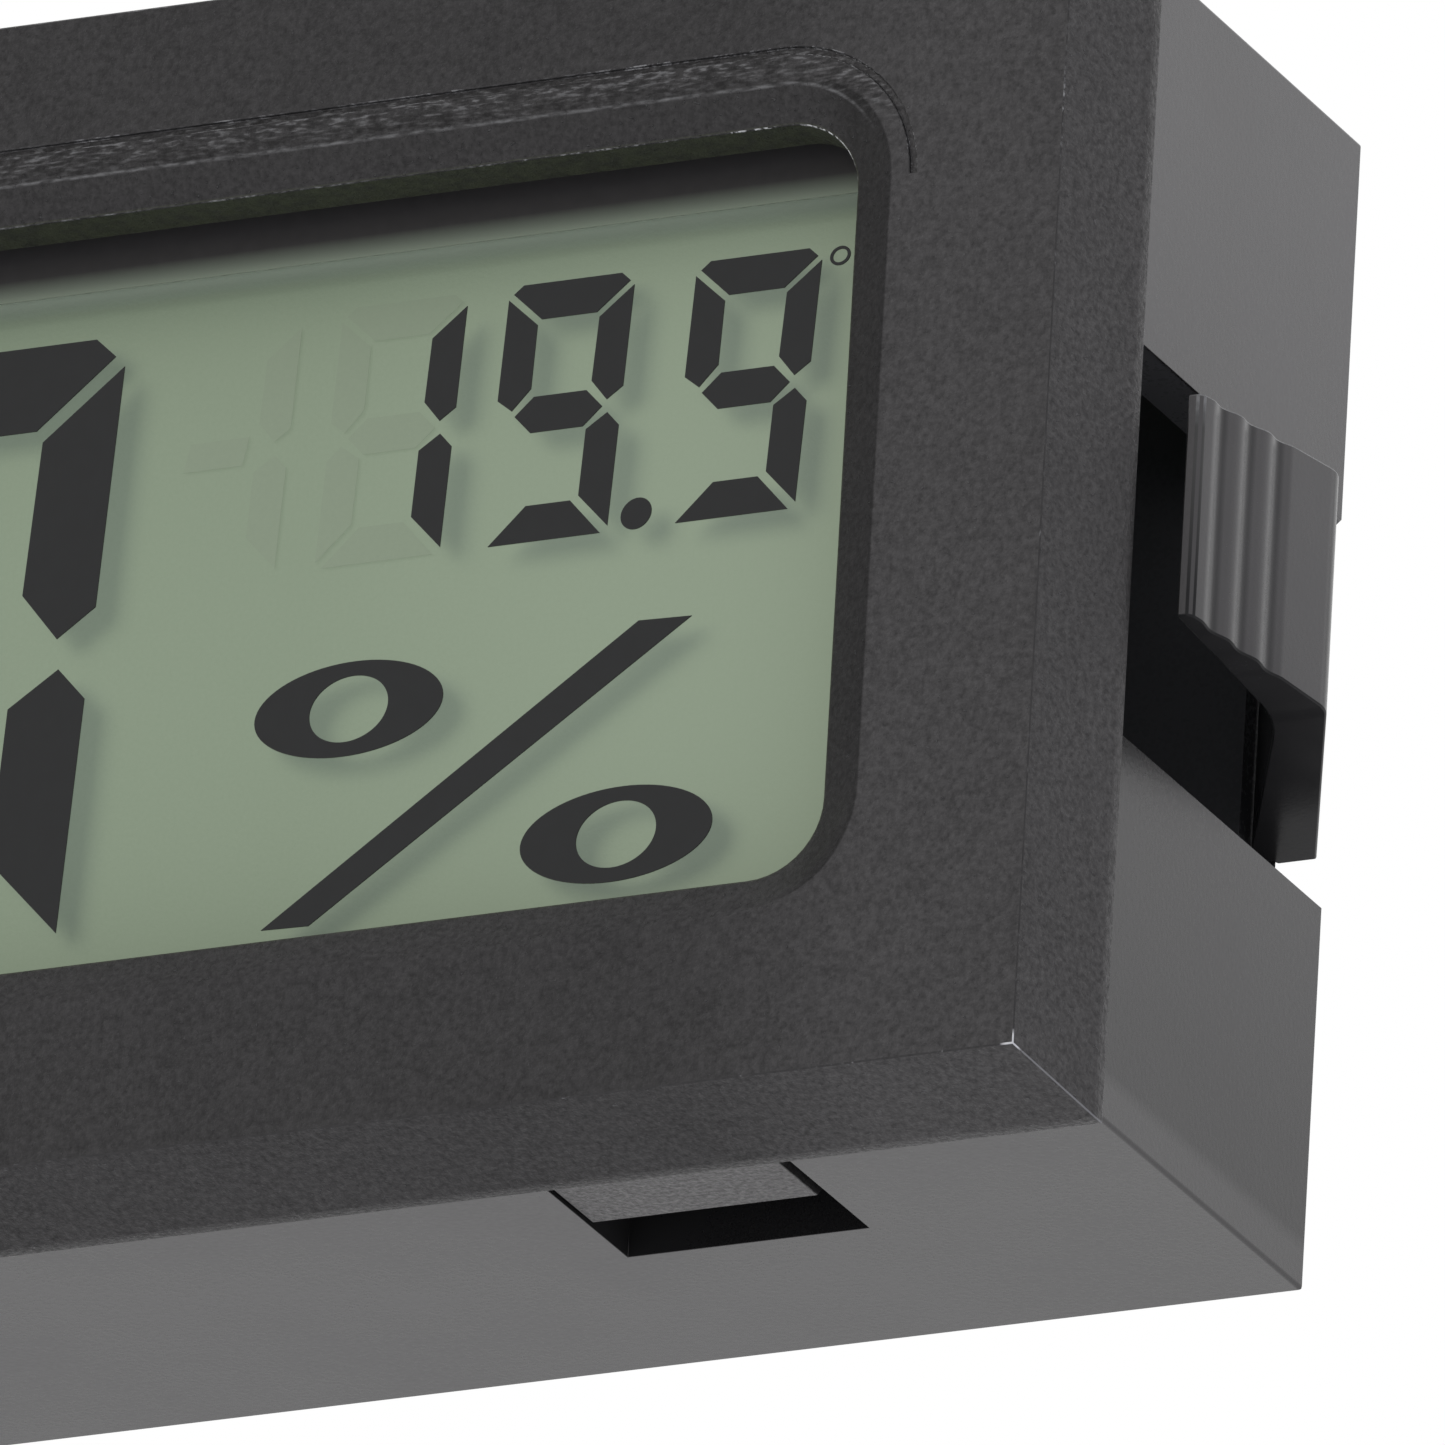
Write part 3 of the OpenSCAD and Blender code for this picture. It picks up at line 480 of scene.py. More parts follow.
def box_share(tree, where, low, high):
    """1 inside the box from low to high, 0 outside: the largest of the three distances from
    its middle, each counted in half-sizes of the box, is compared with 1."""
    middle, half = (low + high) / 2, (high - low) / 2
    away = vector_step(tree, "ABSOLUTE", vector_step(tree, "SUBTRACT", where, middle))
    x, y, z = add(tree, "SeparateXYZ", {0: vector_step(tree, "DIVIDE", away, half)}).outputs
    return math_node(tree, "LESS_THAN",
                     math_node(tree, "MAXIMUM", math_node(tree, "MAXIMUM", x, y), z), 1.0)


def groove_share(tree, where):
    """1 along the bottoms of the clip's grooves and along its crest, 0 elsewhere. The grooves
    lie a pitch apart in depth, so a cosine of the depth peaks in each of them."""
    depth = math_node(tree, "SUBTRACT", coordinate(tree, where, "Y"), at(0, FIRST_GROOVE, 0).y)
    turn = math_node(tree, "COSINE", product(tree, depth, math.tau / (GROOVE_PITCH * MM)))
    ribs = product(tree, spread(tree, turn, 0.35, 0.95, 0, 1),
                   spread(tree, depth, 2.6 * MM, 2.8 * MM, 1, 0),
                   spread(tree, depth, -0.6 * MM, -0.4 * MM, 0, 1))
    crest = math_node(tree, "SUBTRACT", depth, (CREST - FIRST_GROOVE) * MM)
    crest = spread(tree, math_node(tree, "ABSOLUTE", crest), 0.18 * MM, 0.30 * MM, 1, 0)
    return math_node(tree, "MAXIMUM", ribs, crest)


print("inside box of the housing from", INSIDE_LOW, "to", INSIDE_HIGH)

# %% [markdown]
# ## One recipe for four satin parts
# Housing, clips, door and the display's frame are of the same plastic, so one function makes
# all of them, and its arguments say what differs: how pale, how glossy, how much the inside is
# painted paler, how much the downward faces shine, and where painted shade lies. The clip's top
# edges get a painted highlight, which is a material for the edges alone.


# %% Satin plastics
def satin_plastic(name, level=0.016, gloss=0.26, inside=0.0, under=1.0, groove_shade=None):
    """Smoother black plastic with faint flow marks. Towards the top its colour is painted paler and
    its gloss higher, a painted sheen, and the lowest faces shine more too. The inner side of a
    housing is painted paler and less glossy, by inside, as painted light in its recesses; faces
    that point down shine under times, painted shade for the dark housing they mirror; where the
    groove mask gives 1 the gloss is lower, painted shade, and elsewhere higher, a painted
    highlight."""
    mat, tree, shader, where = surface(name)
    violet(shader)
    flow = grain(tree, where, 6.0, 4, 0.6)
    fine = grain(tree, where, 0.12, 2)
    height = coordinate(tree, where, "Z")
    # painted sheen: the flow marks are painted paler towards the top
    paleness = spread(tree, height, 2 * MM, 27 * MM, 0.6, 2.2)
    marks = product(tree, spread(tree, flow, 0.3, 0.7, 0.7, 1.3), paleness, 0.25)
    base = blend(tree, marks, grey(level * 0.1), grey(level * 4, 0.02))
    # painted light: the inside of the housing is painted paler and less glossy
    painted_inside = product(tree, box_share(tree, where, INSIDE_LOW, INSIDE_HIGH), inside)
    tree.links.new(blend(tree, painted_inside, base, grey(0.14)), shader.inputs["Base Color"])
    # painted sheen: the gloss is higher towards the top and on the lowest faces
    shine = math_node(tree, "MAXIMUM", spread(tree, height, 4 * MM, 25 * MM, 0.34, 0.66),
                      spread(tree, height, 1.8 * MM, 2.8 * MM, 0.55, 0.0))
    # painted shade: faces that point down shine less, for the dark housing they mirror
    facing = coordinate(tree, add(tree, "TexCoord").outputs["Normal"], "Z")
    shine = product(tree, shine, spread(tree, facing, -0.75, -0.25, under, 1.0),
                    spread(tree, painted_inside, 0, 0.5, 1.0, 0.2))
    # painted shade in the grooves and on the crest, and a painted highlight on the ridges
    if groove_shade:
        shine = product(tree, shine, spread(tree, groove_shade(tree, where), 0, 1, 1.2, 0.4))
    tree.links.new(shine, shader.inputs["Specular IOR Level"])
    mixed = math_node(tree, "ADD", product(tree, flow, 0.6), product(tree, fine, 0.4))
    tree.links.new(spread(tree, mixed, 0.3, 0.7, gloss - 0.05, gloss + 0.08),
                   shader.inputs["Roughness"])
    relief(tree, shader, math_node(tree, "ADD", fine, product(tree, flow, 2.0)), 0.003)
    return mat


def top_edge_highlight(name):
    """The clip's edges: a painted highlight where they are highest, and less gloss lower down, a
    painted shade.
    """
    mat, tree, shader, where = surface(name, 0.3)
    height = coordinate(tree, where, "Z")
    # painted highlight along the highest edges
    top = product(tree, spread(tree, height, MIDDLE + 1.8 * MM, MIDDLE + 2.4 * MM, 0, 1),
                  spread(tree, grain(tree, where, 0.2), 0.3, 0.6, 0.4, 1))
    tree.links.new(blend(tree, top, grey(0.016), grey(0.13)), shader.inputs["Base Color"])
    # painted shade: the lower edges shine less
    tree.links.new(spread(tree, height, MIDDLE - 2 * MM, MIDDLE + 1 * MM, 0.1, 0.5),
                   shader.inputs["Specular IOR Level"])
    return mat


housing_black = satin_plastic("housing_satin_black", inside=0.5)
clip_black = satin_plastic("clip_satin_black", 0.016, 0.22, under=0.08, groove_shade=groove_share)
clip_edge = top_edge_highlight("clip_edge_painted_highlight")
door_black = satin_plastic("door_satin_black", 0.017, 0.30)
print("materials:", [m.name for m in (housing_black, clip_black, clip_edge, door_black)])

# %% [markdown]
# ## Rounded edges on the moulded pieces
# A moulded edge is never sharp: it has a radius of a tenth of a millimetre, and that is what
# catches the light. The CAD solids have sharp edges and stay as they are. Each moulded piece
# gets a copy whose triangles are merged into whole faces, and a Bevel modifier rounds the edges
# of the copy, which then takes the solid's place.

# %% Round the edges of a copy
SAME_PLACE = 1e-6              # metres: corners closer than this are merged
SAME_FACE = 0.4                # degrees: triangles that turn less than this are one face


def moulded(node, body, mat, radius, steps=3, sharp=28, edge_mat=None):
    """A copy of a CAD node with its sharp edges rounded to radius millimetres. The rounded
    edges can have a material of their own."""
    whole = bmesh.new()
    whole.from_mesh(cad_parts[node].data)
    bmesh.ops.remove_doubles(whole, verts=whole.verts, dist=SAME_PLACE)
    bmesh.ops.dissolve_limit(whole, angle_limit=math.radians(SAME_FACE), verts=whole.verts,
                             edges=whole.edges)
    mesh = bpy.data.meshes.new(node + "_moulded")
    whole.to_mesh(mesh)
    whole.free()
    for layer in [a.name for a in mesh.attributes if a.name in ("custom_normal", "UVMap")]:
        mesh.attributes.remove(mesh.attributes[layer])
    mesh.shade_smooth()
    mesh.set_sharp_from_angle(angle=math.radians(sharp))
    mesh.materials.clear()
    mesh.materials.append(mat)
    if edge_mat:
        mesh.materials.append(edge_mat)
    piece = link(bpy.data.objects.new(node + "_moulded", mesh))
    edges = piece.modifiers.new("rounded_edges", "BEVEL")
    edges.limit_method, edges.angle_limit = "ANGLE", math.radians(sharp)
    edges.width, edges.segments = radius * MM, steps
    edges.material = 1 if edge_mat else -1
    piece.modifiers.new("even_shading", "WEIGHTED_NORMAL").keep_sharp = True
    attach(piece, body)
    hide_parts(node)
    print(piece.name, len(mesh.polygons), "faces before rounding")
    return piece


moulded("front_bezel", "root", bezel_black, 0.08, edge_mat=bezel_edge)
moulded("rear_housing", "root", housing_black, 0.06, 2)
moulded("left_clip_arm", "left_clip", clip_black, 0.12, edge_mat=clip_edge)
moulded("right_clip_arm", "right_clip", clip_black, 0.12, edge_mat=clip_edge)
moulded("battery_door", "battery_door", door_black, 0.06, 2)

# %% [markdown]
# ## The figures on the display
# The display shows a large humidity in percent and a small temperature, both from seven slanted
# bars with mitred ends. In the real display the bars are a thin layer between two glasses, so
# they stand 0.7 mm in front of the reflector and throw a soft shadow on it. A flat picture would
# lose that, so each bar is a thin plate of its own, drawn from one set of proportions.

# %% Seven bars from one set of proportions
INK_DEPTH, INK_THICK = 2.62, 0.03      # mm, behind the front face
INK_SHIFT = (-0.11, 0.10)      # keeps the figures where the picture has them, at that depth
BARS = {"0": "abcdef", "1": "bc", "2": "abdeg", "3": "abcdg", "4": "bcfg", "5": "acdfg",
        "6": "acdefg", "7": "abc", "8": "abcdefg", "9": "abcdfg"}


def bar_outlines(width, height, waist, stroke):
    """Corners of the seven bars of an upright figure: the bars end in mitres, a fixed share of
    the stroke apart, and the left bars mirror the right ones about the middle of the width."""
    w, h, m, t = width, height, waist, stroke
    top = [(.13 * t, h - .24 * t), (.4 * t, h), (w - .4 * t, h), (w - .13 * t, h - .24 * t),
           (w - 1.04 * t, h - 1.05 * t), (1.04 * t, h - 1.05 * t)]
    upper = [(w, h - .38 * t), (w, m + .52 * t), (w - .45 * t, m + .18 * t),
             (w - .96 * t, m + .77 * t), (w - .94 * t, h - 1.2 * t)]
    middle = [(.56 * t, m), (1.08 * t, m + .52 * t), (w - 1.08 * t, m + .52 * t),
              (w - .56 * t, m), (w - 1.08 * t, m - .52 * t), (1.08 * t, m - .52 * t)]
    lower = [(w - .38 * t, m - .2 * t), (w, m - .6 * t), (w, .18 * t),
             (w - .97 * t, 1.16 * t), (w - .97 * t, m - .62 * t)]
    foot = [(.2 * t, 0), (1.2 * t, 1.05 * t), (w - 1.2 * t, 1.05 * t), (w - .2 * t, 0)]
    outlines = {"a": top, "b": upper, "c": lower, "d": foot, "g": middle}
    outlines = {name: np.array(points) for name, points in outlines.items()}
    for right_bar, left_bar in (("b", "f"), ("c", "e")):
        outlines[left_bar] = (outlines[right_bar] * (-1, 1) + (w, 0))[::-1]
    return outlines


def figure(sign, left, foot, width, height, waist, stroke, slant=0.06, unlit=False):
    """Outlines of one figure, leaning to the right by slant times the height above its foot."""
    lean = np.array([[1, 0], [slant, 1]])
    return [points @ lean + (left, foot)
            for name, points in bar_outlines(width, height, waist, stroke).items()
            if (name in BARS[sign]) != unlit]


def ring(x, z, half_w, half_h, hole_w, hole_h, lean=0.1, steps=72):
    """An oval with an oval hole: two outlines, each centre plus half-size times (cos, sin)."""
    turn = np.linspace(0, 2 * np.pi, steps, endpoint=False)
    circle = np.stack([np.cos(turn), np.sin(turn)], 1)
    lean = np.array([[1, 0], [lean, 1]])
    return [circle * half @ lean + (x, z) for half in ((half_w, half_h), (hole_w, hole_h))]


print("bars of a figure:", sorted(bar_outlines(3, 6, 3, 0.8)))

# %% [markdown]
# ## Thin plates
# A printed layer has almost no thickness, but a plate with a front, a back and walls all round
# throws a true shadow and stays a closed mesh when it is exported. The corners of an outline
# are stacked at two depths, and whole arrays of faces are counted out from them.


# %% Plates from outlines
def is_closed(mesh):
    """Whether every edge joins two faces."""
    whole = bmesh.new()
    whole.from_mesh(mesh)
    closed = all(edge.is_manifold for edge in whole.edges)
    whole.free()
    return closed


def as_points(outline, depth):
    """Corners in metres at that depth, one row each."""
    x, z = (outline + INK_SHIFT).T * MM
    return np.stack([x, np.full_like(x, FRONT + depth * MM), MIDDLE + z], 1)


def plates(name, outlines, rings=(), depth=INK_DEPTH, thick=INK_THICK):
    """Thin plates. An outline gives a front face, a back face and one wall per side; a ring is a
    grid of four rows round the oval: outer front, outer back, inner back and inner front."""
    points, faces, start = [], [], 0
    for outline in outlines:
        n = len(outline)
        area = np.sum(outline[:, 0] * np.roll(outline[:, 1], -1)
                      - np.roll(outline[:, 0], -1) * outline[:, 1])
        outline = outline if area > 0 else outline[::-1]
        points += [as_points(outline, depth), as_points(outline, depth + thick)]
        k, j = np.arange(n), (np.arange(n) + 1) % n
        faces.append(list(start + k))
        faces.append(list(start + n + k[::-1]))
        faces += (start + np.stack([j, k, k + n, j + n], 1)).tolist()
        start += 2 * n
    for outer, inner in rings:
        n = len(outer)
        points += [as_points(outer, depth), as_points(outer, depth + thick),
                   as_points(inner, depth + thick), as_points(inner, depth)]
        row, k = np.meshgrid(np.arange(4), np.arange(n), indexing="ij")
        j, after = (k + 1) % n, (row + 1) % 4
        quads = np.stack([row * n + j, row * n + k, after * n + k, after * n + j], -1)
        faces += (start + quads.reshape(-1, 4)).tolist()
        start += 4 * n
    mesh = bpy.data.meshes.new(name)
    mesh.from_pydata(np.concatenate(points).tolist(), [], faces)
    print(name, len(faces), "faces, closed:", is_closed(mesh))
    return link(bpy.data.objects.new(name, mesh))


# %% [markdown]
# ## Inks
# A lit bar lets almost no light through, so its ink is black and what shows on it is a faint
# gloss. An unlit bar is nearly clear, and all that the eye sees of it is a faint shade on the
# reflector, so a plate in that shade lies there.

# %% Inks
mat, tree, shader, where = surface("lit_bar_ink", 0.25, Specular_IOR_Level=0.36)
tree.links.new(blend(tree, grain(tree, where, 0.5), grey(0.002, -0.1), grey(0.005, -0.1)),
               shader.inputs["Base Color"])
lit_ink = mat

mat, tree, shader, where = surface("unlit_bar_shade", 0.4, Specular_IOR_Level=0.36)
tree.links.new(blend(tree, grain(tree, where, 0.10, 3, 0.7), (0.212, 0.260, 0.180, 1),
                     (0.234, 0.286, 0.198, 1)), shader.inputs["Base Color"])
unlit_shade = mat
print("inks:", lit_ink.name, unlit_shade.name)

# %% [markdown]
# ## The reading
# The figures come in two sizes, each with its own proportions, and lean a little to the right.
# A sign is looked up in the table of bars, its outlines are put at its left edge, and all
# outlines of the reading become one piece, because they are one printed layer.

# %% Lit figures
SMALL = dict(foot=0.76, width=2.97, height=6.0, waist=2.95, stroke=0.80, slant=0.058)
LARGE = dict(foot=-7.30, width=6.7, height=14.1, waist=6.86, stroke=1.88, slant=0.063)
SMALL_READING = [("1", 4.63), ("9", 8.59), ("9", 13.02)]      # sign and left edge, in mm
LARGE_READING = [("4", -16.45), ("7", -7.75)]

lit = [o for sign, left in SMALL_READING for o in figure(sign, left, **SMALL)]
lit += [o for sign, left in LARGE_READING for o in figure(sign, left, **LARGE)]
slash = np.array([(3.88, -7.5), (5.0, -7.53), (13.70, -1.44), (12.45, -1.40)])
dot = ring(12.24, 1.10, 0.36, 0.36, 0.1, 0.1)[0]
percent = [ring(5.66, -2.60, 2.23, 1.09, 0.93, 0.76), ring(12.20, -6.29, 2.26, 1.09, 0.94, 0.76)]
degree = ring(16.75, 6.50, 0.24, 0.22, 0.17, 0.155)
bars = plates("lit_bars", lit + [slash, dot], percent + [degree])
bars.data.materials.append(lit_ink)
bars.visible_diffuse = False       # light gets round a real bar inside the glass
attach(bars, "root")

# %% [markdown]
# ## The unlit bars
# The places in front of the small reading are unlit: the rest of a first figure, a one and a
# minus sign. Their shade lies deeper than the ink, so it is moved on along the camera's view,
# and shows where an unlit bar would stand.

# %% Unlit bars
UNLIT_DEPTH, UNLIT_THICK = 3.14, 0.005         # mm, just in front of the reflector
minus = np.array([(1.35, 3.4), (2.75, 3.4), (2.9, 4.05), (1.5, 4.05)])
hidden = figure("1", 4.63, unlit=True, **SMALL) + figure("1", 0.70, **SMALL)
shift = look / look.y * (UNLIT_DEPTH - INK_DEPTH)
hidden = [outline + (shift.x, shift.z) for outline in hidden + [minus]]
ghosts = plates("unlit_bars", hidden, depth=UNLIT_DEPTH, thick=UNLIT_THICK)
ghosts.data.materials.append(unlit_shade)
ghosts.visible_diffuse = ghosts.visible_shadow = False
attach(ghosts, "root")

# %% [markdown]
# ## Clear layers
# Film and glass are clear, with a gloss that grows towards the edge of sight. They are glued
# together, so only the film's face and the glasses' edges shine. A ray may pass eight clear
# faces, and the film and the two glasses already take six of them, so nothing else on the
# display is see-through. Seen straight on, the layers behind carry the film's faint gloss.

# %% Film and glass
GLASS_IOR = 1.41


def see_through(name, shader_of, share_of):
    """A material that mixes a clear shader with another one, by a share."""
    mat = bpy.data.materials.new(name)
    mat.use_nodes = True
    tree = mat.node_tree
    tree.nodes.remove(tree.nodes["Principled BSDF"])
    where = add(tree, "TexCoord").outputs
    clear = add(tree, "BsdfTransparent").outputs[0]
    mixed = add(tree, "MixShader", {0: share_of(tree, where), 1: clear,
                                    2: shader_of(tree, where)})
    tree.links.new(mixed.outputs[0], tree.nodes["Material Output"].inputs["Surface"])
    return mat


def gloss_by_angle(tree):
    """What glass mirrors at each angle."""
    return add(tree, "Fresnel", {"IOR": GLASS_IOR}).outputs[0]


def gloss_on_edges(tree, where):
    """The same, but only on the edges: the glued faces point to the front or to the back."""
    facing = coordinate(tree, where["Normal"], "Y")
    edge = math_node(tree, "LESS_THAN", math_node(tree, "ABSOLUTE", facing), 0.5)
    return product(tree, edge, gloss_by_angle(tree))


def gloss_on_front(tree, where):
    """Only on faces that point to the front, and only at slanting angles."""
    facing = coordinate(tree, where["Normal"], "Y")
    inside = add(tree, "NewGeometry").outputs["Backfacing"]
    hidden_face = math_node(tree, "GREATER_THAN", math_node(tree, "ADD", facing, inside), -0.5)
    front = math_node(tree, "SUBTRACT", 1.0, hidden_face)
    return product(tree, front, spread(tree, gloss_by_angle(tree), 0.06, 1.0, 0, 1))


def film_shine(tree, where):
    """Gloss with a fine matt grain."""
    rough = spread(tree, grain(tree, where["Object"], 0.08, 2), 0.3, 0.7, 0.16, 0.26)
    return add(tree, "BsdfGlossy", {"Color": grey(1.0), "Roughness": rough}).outputs[0]


def glass_shine(tree, where):
    """A clean, smooth gloss with faint smears."""
    rough = spread(tree, grain(tree, where["Object"], 3.0, 3), 0.3, 0.7, 0.02, 0.06)
    return add(tree, "BsdfGlossy", {"Color": grey(1.0), "Roughness": rough}).outputs[0]


film = see_through("display_film", film_shine, gloss_on_front)
glass = see_through("display_glass", glass_shine, gloss_on_edges)
print("clear materials:", film.name, glass.name)

# %% [markdown]
# ## The reflector, the printed ledge and painted light
# The grey-green sheet behind the glasses is a soft, fibrous mirror. Its colour is painted paler
# on the right, for the white surroundings that it catches there, and near its top, as painted
# light that enters between its edge and the black print that covers the glass's ledge. The
# print's lower edge is a painted soft shadow of the bezel's lip, which fades in over half a
# millimetre. Both are one base colour, blended by where the point lies.

# %% Reflector and ledge
RIGHT_FROM, RIGHT_TO = 4 * MM, 16 * MM
TOP_FROM, TOP_TO = MIDDLE + 7.7 * MM, MIDDLE + 8.2 * MM
# painted soft shadow of the lip at the lower edge of the ledge's print
LIP_SHADOW_FROM, LIP_SHADOW_TO = MIDDLE + 7.93 * MM, MIDDLE + 8.45 * MM
LEDGE_DEPTH, LEDGE_HALF, LEDGE_LOW, LEDGE_HIGH = 2.46, 18.2, 7.85, 10.15     # mm

mat, tree, shader, where = surface("display_reflector", 0.4, Specular_IOR_Level=0.36)
fibres = grain(tree, where, 0.10, 3, 0.7)
cloud = grain(tree, where, 5.0, 2)
base = blend(tree, fibres, (0.218, 0.274, 0.184, 1), (0.250, 0.308, 0.214, 1))
base = blend(tree, product(tree, cloud, 0.3), base, (0.214, 0.269, 0.180, 1))
side, _, height = add(tree, "SeparateXYZ", {0: where}).outputs
# painted light: paler towards the right, for the white surroundings it catches there
base = blend(tree, spread(tree, side, RIGHT_FROM, RIGHT_TO, 0, 0.35), base,
             (0.337, 0.402, 0.290, 1))
# painted light near the top, where light enters below the ledge's print
lift = spread(tree, height, TOP_FROM, TOP_TO, 0, 1)
tree.links.new(blend(tree, product(tree, lift, lift), base, (0.56, 0.66, 0.49, 1)),
               shader.inputs["Base Color"])
relief(tree, shader, fibres, 0.006)
reflector = mat

mat, tree, shader, where = surface("ledge_print_with_shadow_edge", 0.3, Specular_IOR_Level=0.34)
# painted shadow edge: from the reflector's green in shade to the black print
fade = spread(tree, coordinate(tree, where, "Z"), LIP_SHADOW_FROM, LIP_SHADOW_TO, 0, 1)
dots = blend(tree, grain(tree, where, 0.3), grey(0.038, 0.05), grey(0.052, 0.05))
tree.links.new(blend(tree, fade, (0.200, 0.238, 0.178, 1), dots), shader.inputs["Base Color"])
ledge = plates("ledge_print_and_shadow_edge", [np.array([(-LEDGE_HALF, LEDGE_LOW), (LEDGE_HALF, LEDGE_LOW),
                                         (LEDGE_HALF, LEDGE_HIGH), (-LEDGE_HALF, LEDGE_HIGH)])],
               depth=LEDGE_DEPTH)
ledge.data.materials.append(mat)
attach(ledge, "root")

# %% [markdown]
# ## Dress the layers
# Film and glasses lie face to face in the CAD model. A ray can't tell which of two faces in one
# place comes first and would weave them together, so a Displace modifier shrinks each clear
# layer by a hundredth of a millimetre. Clear layers also stay out of shadows and soft light.

# %% The display's materials on its layers
GLUE_LINE = 0.01 * MM


def paint(material, *nodes):
    """Gives CAD nodes, which stay as they are, a material."""
    for node in nodes:
        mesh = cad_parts[node].data
        mesh.materials.clear()
        mesh.materials.append(material)


paint(film, "lcd_front_film")
paint(glass, "lcd_front_glass", "lcd_rear_glass")
for node in ("lcd_front_film", "lcd_front_glass", "lcd_rear_glass"):
    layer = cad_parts[node]
    layer.visible_shadow = layer.visible_diffuse = layer.visible_glossy = False
    glue = layer.modifiers.new("glue_line", "DISPLACE")     # no two faces in one place
    glue.strength, glue.mid_level = -GLUE_LINE, 0.0
paint(reflector, "lcd_reflector")
print("clear layers shrunk by", GLUE_LINE, "m all round")

# %% [markdown]
# ## Inside: the frame, the rubber strip and the circuit board
# These parts are hidden behind the display and the housing, and show only through the notches,
# the vents and the open battery bay. They still get the finish of the real ones, because the
# model may be opened up: a dark moulded frame, layered rubber, green solder mask over copper
# tracks, and glossy black resin on the chip.

# %% Frame, rubber and board
frame_black = satin_plastic("frame_dark_plastic", 0.020, 0.45)

mat, tree, shader, where = surface("strip_rubber", 0.6)
layers = add(tree, "TexWave", {"Vector": where, "Scale": 1 / (0.9 * MM), "Distortion": 0.2},
             bands_direction="X").outputs[1]
tree.links.new(blend(tree, layers, (0.32, 0.16, 0.18, 1), grey(0.02)),
               shader.inputs["Base Color"])
relief(tree, shader, grain(tree, where, 0.2), 0.01)
strip_rubber = mat

mat, tree, shader, where = surface("board_solder_mask", 0.35, Coat_Weight=0.3)
tracks = add(tree, "TexBrick", {"Vector": where, "Scale": 1 / (9 * MM), "Mortar Size": 0.035,
                                "Mortar Smooth": 0.1, "Color1": grey(0.0), "Color2": grey(0.0),
                                "Mortar": grey(1.0)}).outputs[0]
weave = grain(tree, where, 0.4, 2)
mask = blend(tree, weave, (0.008, 0.05, 0.022, 1), (0.012, 0.07, 0.03, 1))
tree.links.new(blend(tree, tracks, mask, (0.03, 0.13, 0.06, 1)), shader.inputs["Base Color"])
relief(tree, shader, math_node(tree, "ADD", tracks, product(tree, weave, 0.3)), 0.03)
board_green = mat

mat, tree, shader, where = surface("chip_resin", 0.25)
lumps = grain(tree, where, 0.8, 3)
tree.links.new(blend(tree, lumps, grey(0.006), grey(0.014)), shader.inputs["Base Color"])
relief(tree, shader, lumps, 0.02)
chip_resin = mat


def ceramic(name, body, paler):
    """Fired ceramic of a chip part: its body colour, mottled with a paler one."""
    mat, tree, shader, where = surface(name, 0.35)
    paleness = grain(tree, where, 0.15, 2)
    tree.links.new(blend(tree, paleness, body, paler), shader.inputs["Base Color"])
    relief(tree, shader, paleness, 0.01)
    return mat


paint(frame_black, "lcd_frame")
paint(strip_rubber, "contact_strip")
paint(board_green, "circuit_board")
paint(chip_resin, "chip_dome")
paint(ceramic("resistor_body", grey(0.02), grey(0.06)), "chip_resistors")
paint(ceramic("capacitor_body", (0.30, 0.20, 0.12, 1), (0.36, 0.25, 0.16, 1)),
      "chip_capacitors")
print("board parts painted:", sorted(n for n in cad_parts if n.startswith("chip_")))

# %% [markdown]
# ## Metals
# Springs and screws are plated steel, drawn or pressed, so their gloss is streaked along one
# way. The button cells are turned caps with a ring pattern round their middle, so each pattern
# is centred on its own cell.


# %% Metals
def plated(name, colour, gloss, streak):
    """Plated metal with fine streaks; streak gives their size along x, y and z in mm."""
    mat, tree, shader, where = surface(name, Metallic=1.0)
    lines = streaked(tree, where, streak)
    darker = tuple(c * 0.8 for c in colour[:3]) + (1,)
    tree.links.new(blend(tree, lines, darker, colour), shader.inputs["Base Color"])
    tree.links.new(spread(tree, lines, 0.3, 0.7, gloss - 0.08, gloss + 0.12),
                   shader.inputs["Roughness"])
    relief(tree, shader, lines, 0.004)
    return mat


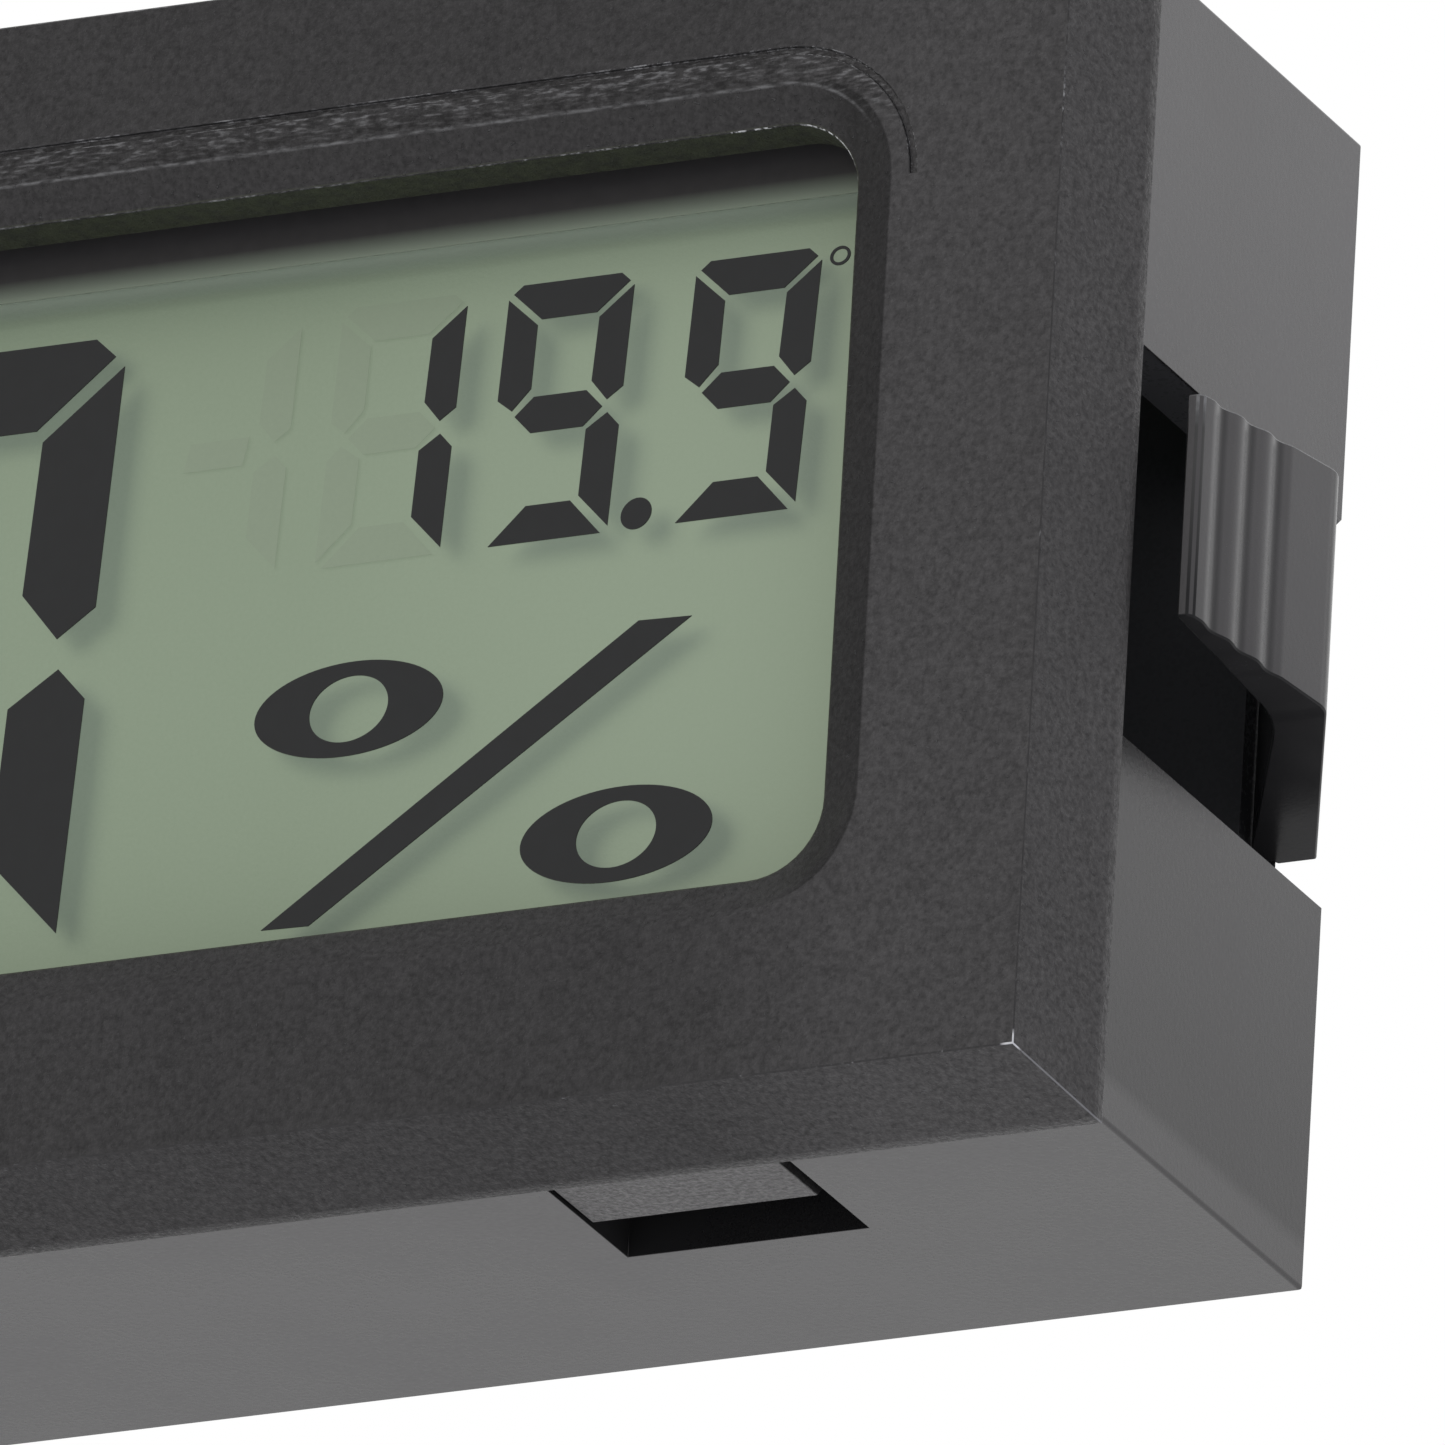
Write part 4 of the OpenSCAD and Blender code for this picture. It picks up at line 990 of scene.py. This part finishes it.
def turned_cell(name, node):
    """Steel of a button cell, with rings round the cell's own middle."""
    mat, tree, shader, where = surface(name, Metallic=1.0)
    low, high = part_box(node)
    middle = (low + high) / 2
    centred = add(tree, "Mapping", {"Vector": where, "Location": [-c for c in middle]})
    turned = add(tree, "TexWave", {"Vector": centred.outputs[0], "Scale": 1 / (1.6 * MM),
                                   "Distortion": 0.3, "Detail": 2.0}, wave_type="RINGS",
                 rings_direction="Y").outputs[1]
    marks = grain(tree, where, 1.2, 4, 0.7)
    tree.links.new(blend(tree, marks, (0.52, 0.51, 0.49, 1), (0.70, 0.69, 0.66, 1)),
                   shader.inputs["Base Color"])
    tree.links.new(spread(tree, marks, 0.3, 0.7, 0.18, 0.34), shader.inputs["Roughness"])
    relief(tree, shader, math_node(tree, "ADD", product(tree, turned, 0.3), marks), 0.012)
    return mat


paint(plated("contact_steel", (0.66, 0.64, 0.58, 1), 0.30, (0.1, 0.1, 2.0)),
      "positive_contact", "negative_contact", "bridge_contact")
paint(plated("screw_steel", (0.60, 0.60, 0.60, 1), 0.28, (0.3, 0.3, 0.3)), "board_screws")
paint(plated("crystal_can", (0.70, 0.70, 0.68, 1), 0.22, (2.0, 0.1, 0.1)), "clock_crystal")
for cell in ("coin_cell_1", "coin_cell_2"):
    paint(turned_cell(cell + "_steel", cell), cell)
print("metal painted on contacts, screws, crystal can and two cells")

# %% [markdown]
# ## The two sensors
# The humidity sensor is a small printed plate with a comb of two electrodes, which stripes from
# a wave give. The temperature bead is a drop of dark epoxy, a little uneven.

# %% Sensors
mat, tree, shader, where = surface("sensor_plate", 0.5)
comb = add(tree, "TexWave", {"Vector": where, "Scale": 1 / (2.2 * MM)},
           bands_direction="X").outputs[1]
tree.links.new(blend(tree, comb, (0.60, 0.60, 0.56, 1), (0.30, 0.29, 0.26, 1)),
               shader.inputs["Base Color"])
relief(tree, shader, comb, 0.01)
paint(mat, "humidity_sensor")

mat, tree, shader, where = surface("bead_epoxy", 0.3)
drop = grain(tree, where, 0.6, 2)
tree.links.new(blend(tree, drop, (0.03, 0.02, 0.015, 1), (0.06, 0.035, 0.02, 1)),
               shader.inputs["Base Color"])
relief(tree, shader, drop, 0.01)
paint(mat, "temperature_bead")
print("materials in all:", len(bpy.data.materials))
